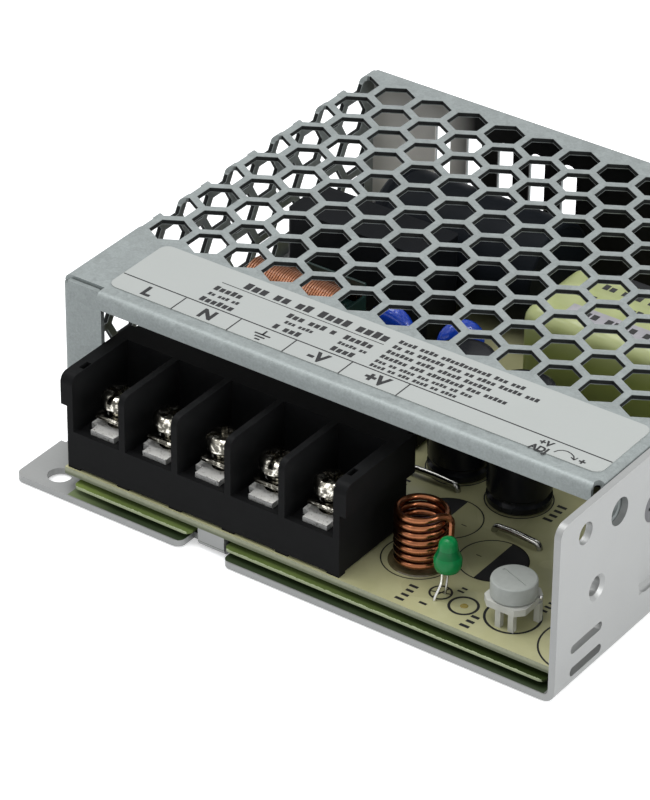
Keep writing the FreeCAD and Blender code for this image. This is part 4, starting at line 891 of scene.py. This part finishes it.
def ring(x, y, radius, width, z, sides=40, edge=None):
    """Printed ring: a disc inset and opened, and cut off along x = edge."""
    clear()
    bpy.ops.mesh.primitive_circle_add(vertices=sides, radius=radius * MM, fill_type="NGON")
    piece = bpy.context.object
    bpy.ops.object.mode_set(mode="EDIT")
    bpy.ops.mesh.select_all(action="SELECT")
    bpy.ops.mesh.inset(thickness=width * MM, depth=0)
    bpy.ops.mesh.delete(type="FACE")
    if edge is not None:
        bpy.ops.mesh.select_all(action="SELECT")
        bpy.ops.mesh.bisect(plane_co=((edge - x) * MM, 0, 0), plane_no=(1, 0, 0), clear_outer=True)
    bpy.ops.object.mode_set(mode="OBJECT")
    return moved(piece, (x, y, z))


LETTER_STEP = 0.82
WORD_GAP = 0.8
LOW_LETTER = 0.84


def letters(x, y, z, tall, counts, turn=0.0, bold=0.78):
    """Rows of small bars that stand in for words of so many letters."""
    pieces = []
    reach = 0.0
    step = tall * LETTER_STEP
    across, rise = math.cos(turn), math.sin(turn)
    for word, count in enumerate(counts):
        for place in range(count):
            high = tall * (1.0 if (place + word) % 3 == 0 else LOW_LETTER)
            along = reach + step * place
            middle = (high - tall) / 2
            spot_x = x + along * across - middle * rise
            spot_y = y + along * rise + middle * across
            up_x, up_y = -rise * high / 2, across * high / 2
            ends = (spot_x - up_x, spot_y - up_y, spot_x + up_x, spot_y + up_y)
            pieces.append(bar(*ends, step * bold, z))
        reach += step * (count + WORD_GAP)
    return pieces


def half_disc(x, y, radius, towards, z):
    """Printed half disc; the half that lies towards the angle in degrees stays."""
    clear()
    bpy.ops.mesh.primitive_circle_add(vertices=48, radius=radius * MM, fill_type="NGON")
    piece = bpy.context.object
    bpy.ops.object.mode_set(mode="EDIT")
    bpy.ops.mesh.select_all(action="SELECT")
    way = (math.cos(math.radians(towards)), math.sin(math.radians(towards)), 0)
    bpy.ops.mesh.bisect(plane_co=(0, 0, 0), plane_no=way, clear_inner=True)
    bpy.ops.object.mode_set(mode="OBJECT")
    return moved(piece, (x, y, z))


INK_Z = LABEL_TOP + PRINT_LIFT
STROKE = 0.2
LARGE, SMALL = (3.3, 0.16), (1.8, 0.08)
DIVIDERS = (-29.25, -19.1, -9.07, 0.97, 11.1)
label_print = [
    bar(-41.1, -31.2, 45.5, -31.7, 0.24, INK_Z),
    bar(-27.6, -24.75, 1.9, -25.0, 0.16, INK_Z),
]
for text, x, y, (size, bold) in (
    ("L", -34.9, -33.45, LARGE),
    ("N", -23.9, -33.5, LARGE),
    ("-V", -3.95, -33.5, LARGE),
    ("+V", 6.4, -33.5, LARGE),
    ("+V", 35.3, -33.1, SMALL),
    ("ADJ", 35.2, -34.8, SMALL),
    ("+", 42.0, -34.2, (2.0, 0.08)),
):
    label_print.append(mark(text, x, y, INK_Z, size, bold))
for x in DIVIDERS:
    label_print.append(bar(x, -35.3, x, -31.45, 0.22, INK_Z))

# Earth sign: three bars under a stem.
EARTH_X = -14.0
EARTH_STROKE = 0.34
for width, y in ((2.8, -33.2), (1.8, -33.9), (0.9, -34.6)):
    ends = (EARTH_X - width / 2, y, EARTH_X + width / 2, y)
    label_print.append(bar(*ends, EARTH_STROKE, INK_Z))
label_print.append(bar(EARTH_X, -33.3, EARTH_X, -32.0, EARTH_STROKE, INK_Z))

# Curved arrow that shows which way the trimmer raises the voltage.
ARC = ((37.4, -34.3), (37.7, -33.6), (38.2, -33.2), (38.9, -33.05), (39.6, -33.2), (40.3, -33.6))
TIP = (40.8, -34.4)
for (x0, y0), (x1, y1) in zip(ARC, ARC[1:] + (TIP,)):
    label_print.append(bar(x0, y0, x1, y1, STROKE, INK_Z))
for barb in ((40.1, -34.0), (41.0, -33.6)):
    label_print.append(bar(*TIP, *barb, STROKE, INK_Z))
finished(join(label_print), "label_print", ink)

# Small print: place, letter height, and how many letters each word has.
LABEL_WORDS = (
    (-23.6, -23.4, 1.75, (3, 2, 2, 4, 4)),
    (-27.2, -26.5, 1.25, (5,)),
    (-13.8, -26.5, 1.25, (3, 3, 1)),
    (-3.6, -26.5, 1.25, (5,)),
    (-27.2, -28.3, 0.8, (2, 3, 2)),
    (-13.2, -28.3, 0.8, (3, 4)),
    (-3.6, -28.3, 0.8, (5, 2)),
    (-27.2, -30.1, 1.25, (6,)),
    (-13.8, -30.1, 1.25, (1, 3)),
    (-3.4, -30.1, 1.25, (4,)),
    (3.6, -22.9, 0.95, (4, 4, 11, 3, 3)),
    (3.6, -24.5, 0.95, (2, 2, 6, 3, 2, 4, 5, 3)),
    (3.6, -26.1, 0.95, (6, 4, 5, 6)),
    (3.6, -27.7, 0.95, (6, 3, 8, 3, 5)),
    (3.6, -29.2, 0.8, (3, 2, 4, 3, 4, 2, 3)),
    (3.6, -30.5, 0.8, (4, 2, 3, 4, 2, 4)),
)
words = []
for x, y, tall, counts in LABEL_WORDS:
    words += letters(x, y, INK_Z, tall, counts)
finished(join(words), "label_small_print", ink)

# Board print; a place without its can has a ring and a half disc.
SILK_Z = BOARD_TOP + PRINT_LIFT
OUTLINE = 0.22
EMPTY_PLACES = ((14.0, -25.1, 5.4, 180), (25.5, -30.4, 5.35, 0))
board_print = [
    ring(16.2, -36.15, 5.6, OUTLINE, SILK_Z),
    ring(23.8, -41.5, 1.8, 0.34, SILK_Z),
    bar(22.3, -42.0, 25.3, -41.0, 0.25, SILK_Z),
    bar(23.4, -43.0, 24.3, -40.0, 0.25, SILK_Z),
    ring(28.3, -42.3, 2.35, 0.42, SILK_Z),
]
for x, y, radius, towards in EMPTY_PLACES:
    board_print.append(ring(x, y, radius, OUTLINE, SILK_Z))
for x, y, radius, towards in EMPTY_PLACES:
    board_print.append(half_disc(x, y, 5.3, towards, SILK_Z))
for x, y in OUTPUT_CANS:
    board_print.append(ring(x, y, 5.3, OUTLINE, SILK_Z))
board_print += [
    ring(*TRIMMER, 4.3, 0.4, SILK_Z),
    ring(47.9, -40.6, 6.9, 0.3, SILK_Z, 60, 46.9),
    bar(16.5, -25.3, 17.4, -25.3, 0.18, SILK_Z),
    bar(22.6, -30.5, 23.5, -30.5, 0.18, SILK_Z),
]
BOARD_WORDS = (
    (19.8, -46.2, 1.5, (4,)),
    (23.2, -45.2, 1.3, (1,)),
    (31.1, -46.3, 1.6, (3,)),
    (26.1, -16.8, 1.6, (4,)),
    (26.0, -39.6, 1.1, (2,)),
    (38.2, -36.6, 1.3, (3,)),
    (30.8, -37.8, 1.3, (2,)),
    (43.0, -40.8, 1.3, (3,)),
    (8.4, -42.6, 1.3, (4,)),
    (3.4, -23.6, 1.3, (4,)),
)
for x, y, tall, counts in BOARD_WORDS:
    board_print += letters(x, y, SILK_Z, tall, counts, math.pi / 2, 0.45)
finished(join(board_print), "board_print", ink)
flux_ochre = resin("flux_ochre", (0.22, 0.17, 0.03), (0.36, 0.28, 0.06))
flux = turned([(0.62, 0), (0.5, 0.1), (0.1, 0.14)], 20)
finished(moved(flux, (*TEST_PAD, BOARD_TOP)), "board_test_pad", flux_ochre)

# Sticker and print on the transformer tape.
STICKER_Y = 8.8
STICKER_Z = TAPE_TOP + 0.02
sticker = bar(12.5, STICKER_Y, 29.5, STICKER_Y, 3.2, STICKER_Z)
finished(sticker, "tape_sticker", pale_plastic("sticker_paper", (0.58, 0.56, 0.60), 0.5))
tape_words = letters(14.5, STICKER_Y, TAPE_TOP + 0.035, 1.7, (3, 4, 2))
tape_words += letters(11.5, 13.4, STICKER_Z, 1.5, (3, 3, 2, 3))
tape_words += letters(14.0, 17.2, STICKER_Z, 1.5, (2, 3, 3))
finished(join(tape_words), "tape_print", grey_ink)

# Studio: pale floor, soft even light and the photograph's viewpoint.
scene = bpy.context.scene
scene.view_settings.view_transform = "Standard"


def soft_light():
    """Even, faintly blue light on the object, and a white background where it is seen."""
    world = bpy.data.worlds.new("studio")
    scene.world = world
    world.use_nodes = True
    sky = Shading(world.node_tree)
    plain = Tone(sky, sky.tree.nodes["Background"].outputs[0])
    sky.fill(sky.tree.nodes["Background"].inputs["Color"], (0.93, 0.96, 1.0))
    sky.fill(sky.tree.nodes["Background"].inputs["Strength"], 0.55)
    white = {"Color": (1.0, 1.0, 1.0), "Strength": 1.0}
    backdrop = sky.add("ShaderNodeBackground", None, white)
    light = sky.add("ShaderNodeMixShader", None, {0: sky.on_white(), 1: plain, 2: backdrop})
    sky.fill(sky.tree.nodes["World Output"].inputs["Surface"], light)


def studio_lamp(name, spot, aim, size, power):
    """Rectangular lamp at a spot, turned to its aim; metres and watts."""
    data = bpy.data.lights.new(name, "AREA")
    data.shape = "RECTANGLE"
    data.size, data.size_y = size
    data.energy = power
    light = bpy.data.objects.new(name, data)
    bpy.context.collection.objects.link(light)
    light.location = spot
    light.rotation_euler = (Vector(aim) - Vector(spot)).to_track_quat("-Z", "Y").to_euler()


def floor_paper():
    """Grey paper that the camera and reflections see as a nearly white background."""
    tone = (0.94, 0.94, 0.94)
    constant = {"Specular_IOR_Level": 0.1, "Emission_Strength": 1.0}
    finish = Finish("floor_paper", tone, 0.8, 0.0, **constant)
    seen = finish.on_white()
    glow = finish.blend(seen, (0.0, 0.0, 0.0), (0.42, 0.42, 0.42))
    finish.put("Emission Color", glow)
    finish.put("Base Color", finish.blend(seen, (0.45, 0.45, 0.45), (0.97, 0.97, 0.97)))
    return finish.material


MIDDLE = (0, 0, 0.01)
FLOOR_Z = -0.0002
soft_light()
studio_lamp("key", (-0.15, -0.02, 0.62), MIDDLE, (0.45, 0.45), 2.5)
studio_lamp("right", (0.60, -0.05, 0.25), MIDDLE, (0.35, 0.30), 2.7)
studio_lamp("glint", (-0.20, -0.50, 0.45), (0, -0.04, 0.01), (0.10, 0.10), 0.15)

clear()
bpy.ops.mesh.primitive_plane_add(size=6.0, location=(0, 0, FLOOR_Z))
floor = bpy.context.object
floor.name = "studio_floor"
coat(floor, floor_paper())

view = bpy.data.cameras.new("photo_view")
view.lens = 192.9009
view.sensor_width = 36.0
view.clip_start = 0.01
camera = bpy.data.objects.new("photo_view", view)
bpy.context.collection.objects.link(camera)
camera.rotation_euler = (1.0008231617849752, -0.007155417113534179, 0.6186412742144604)
camera.location = (0.30057, -0.46340, 0.36044)
scene.camera = camera
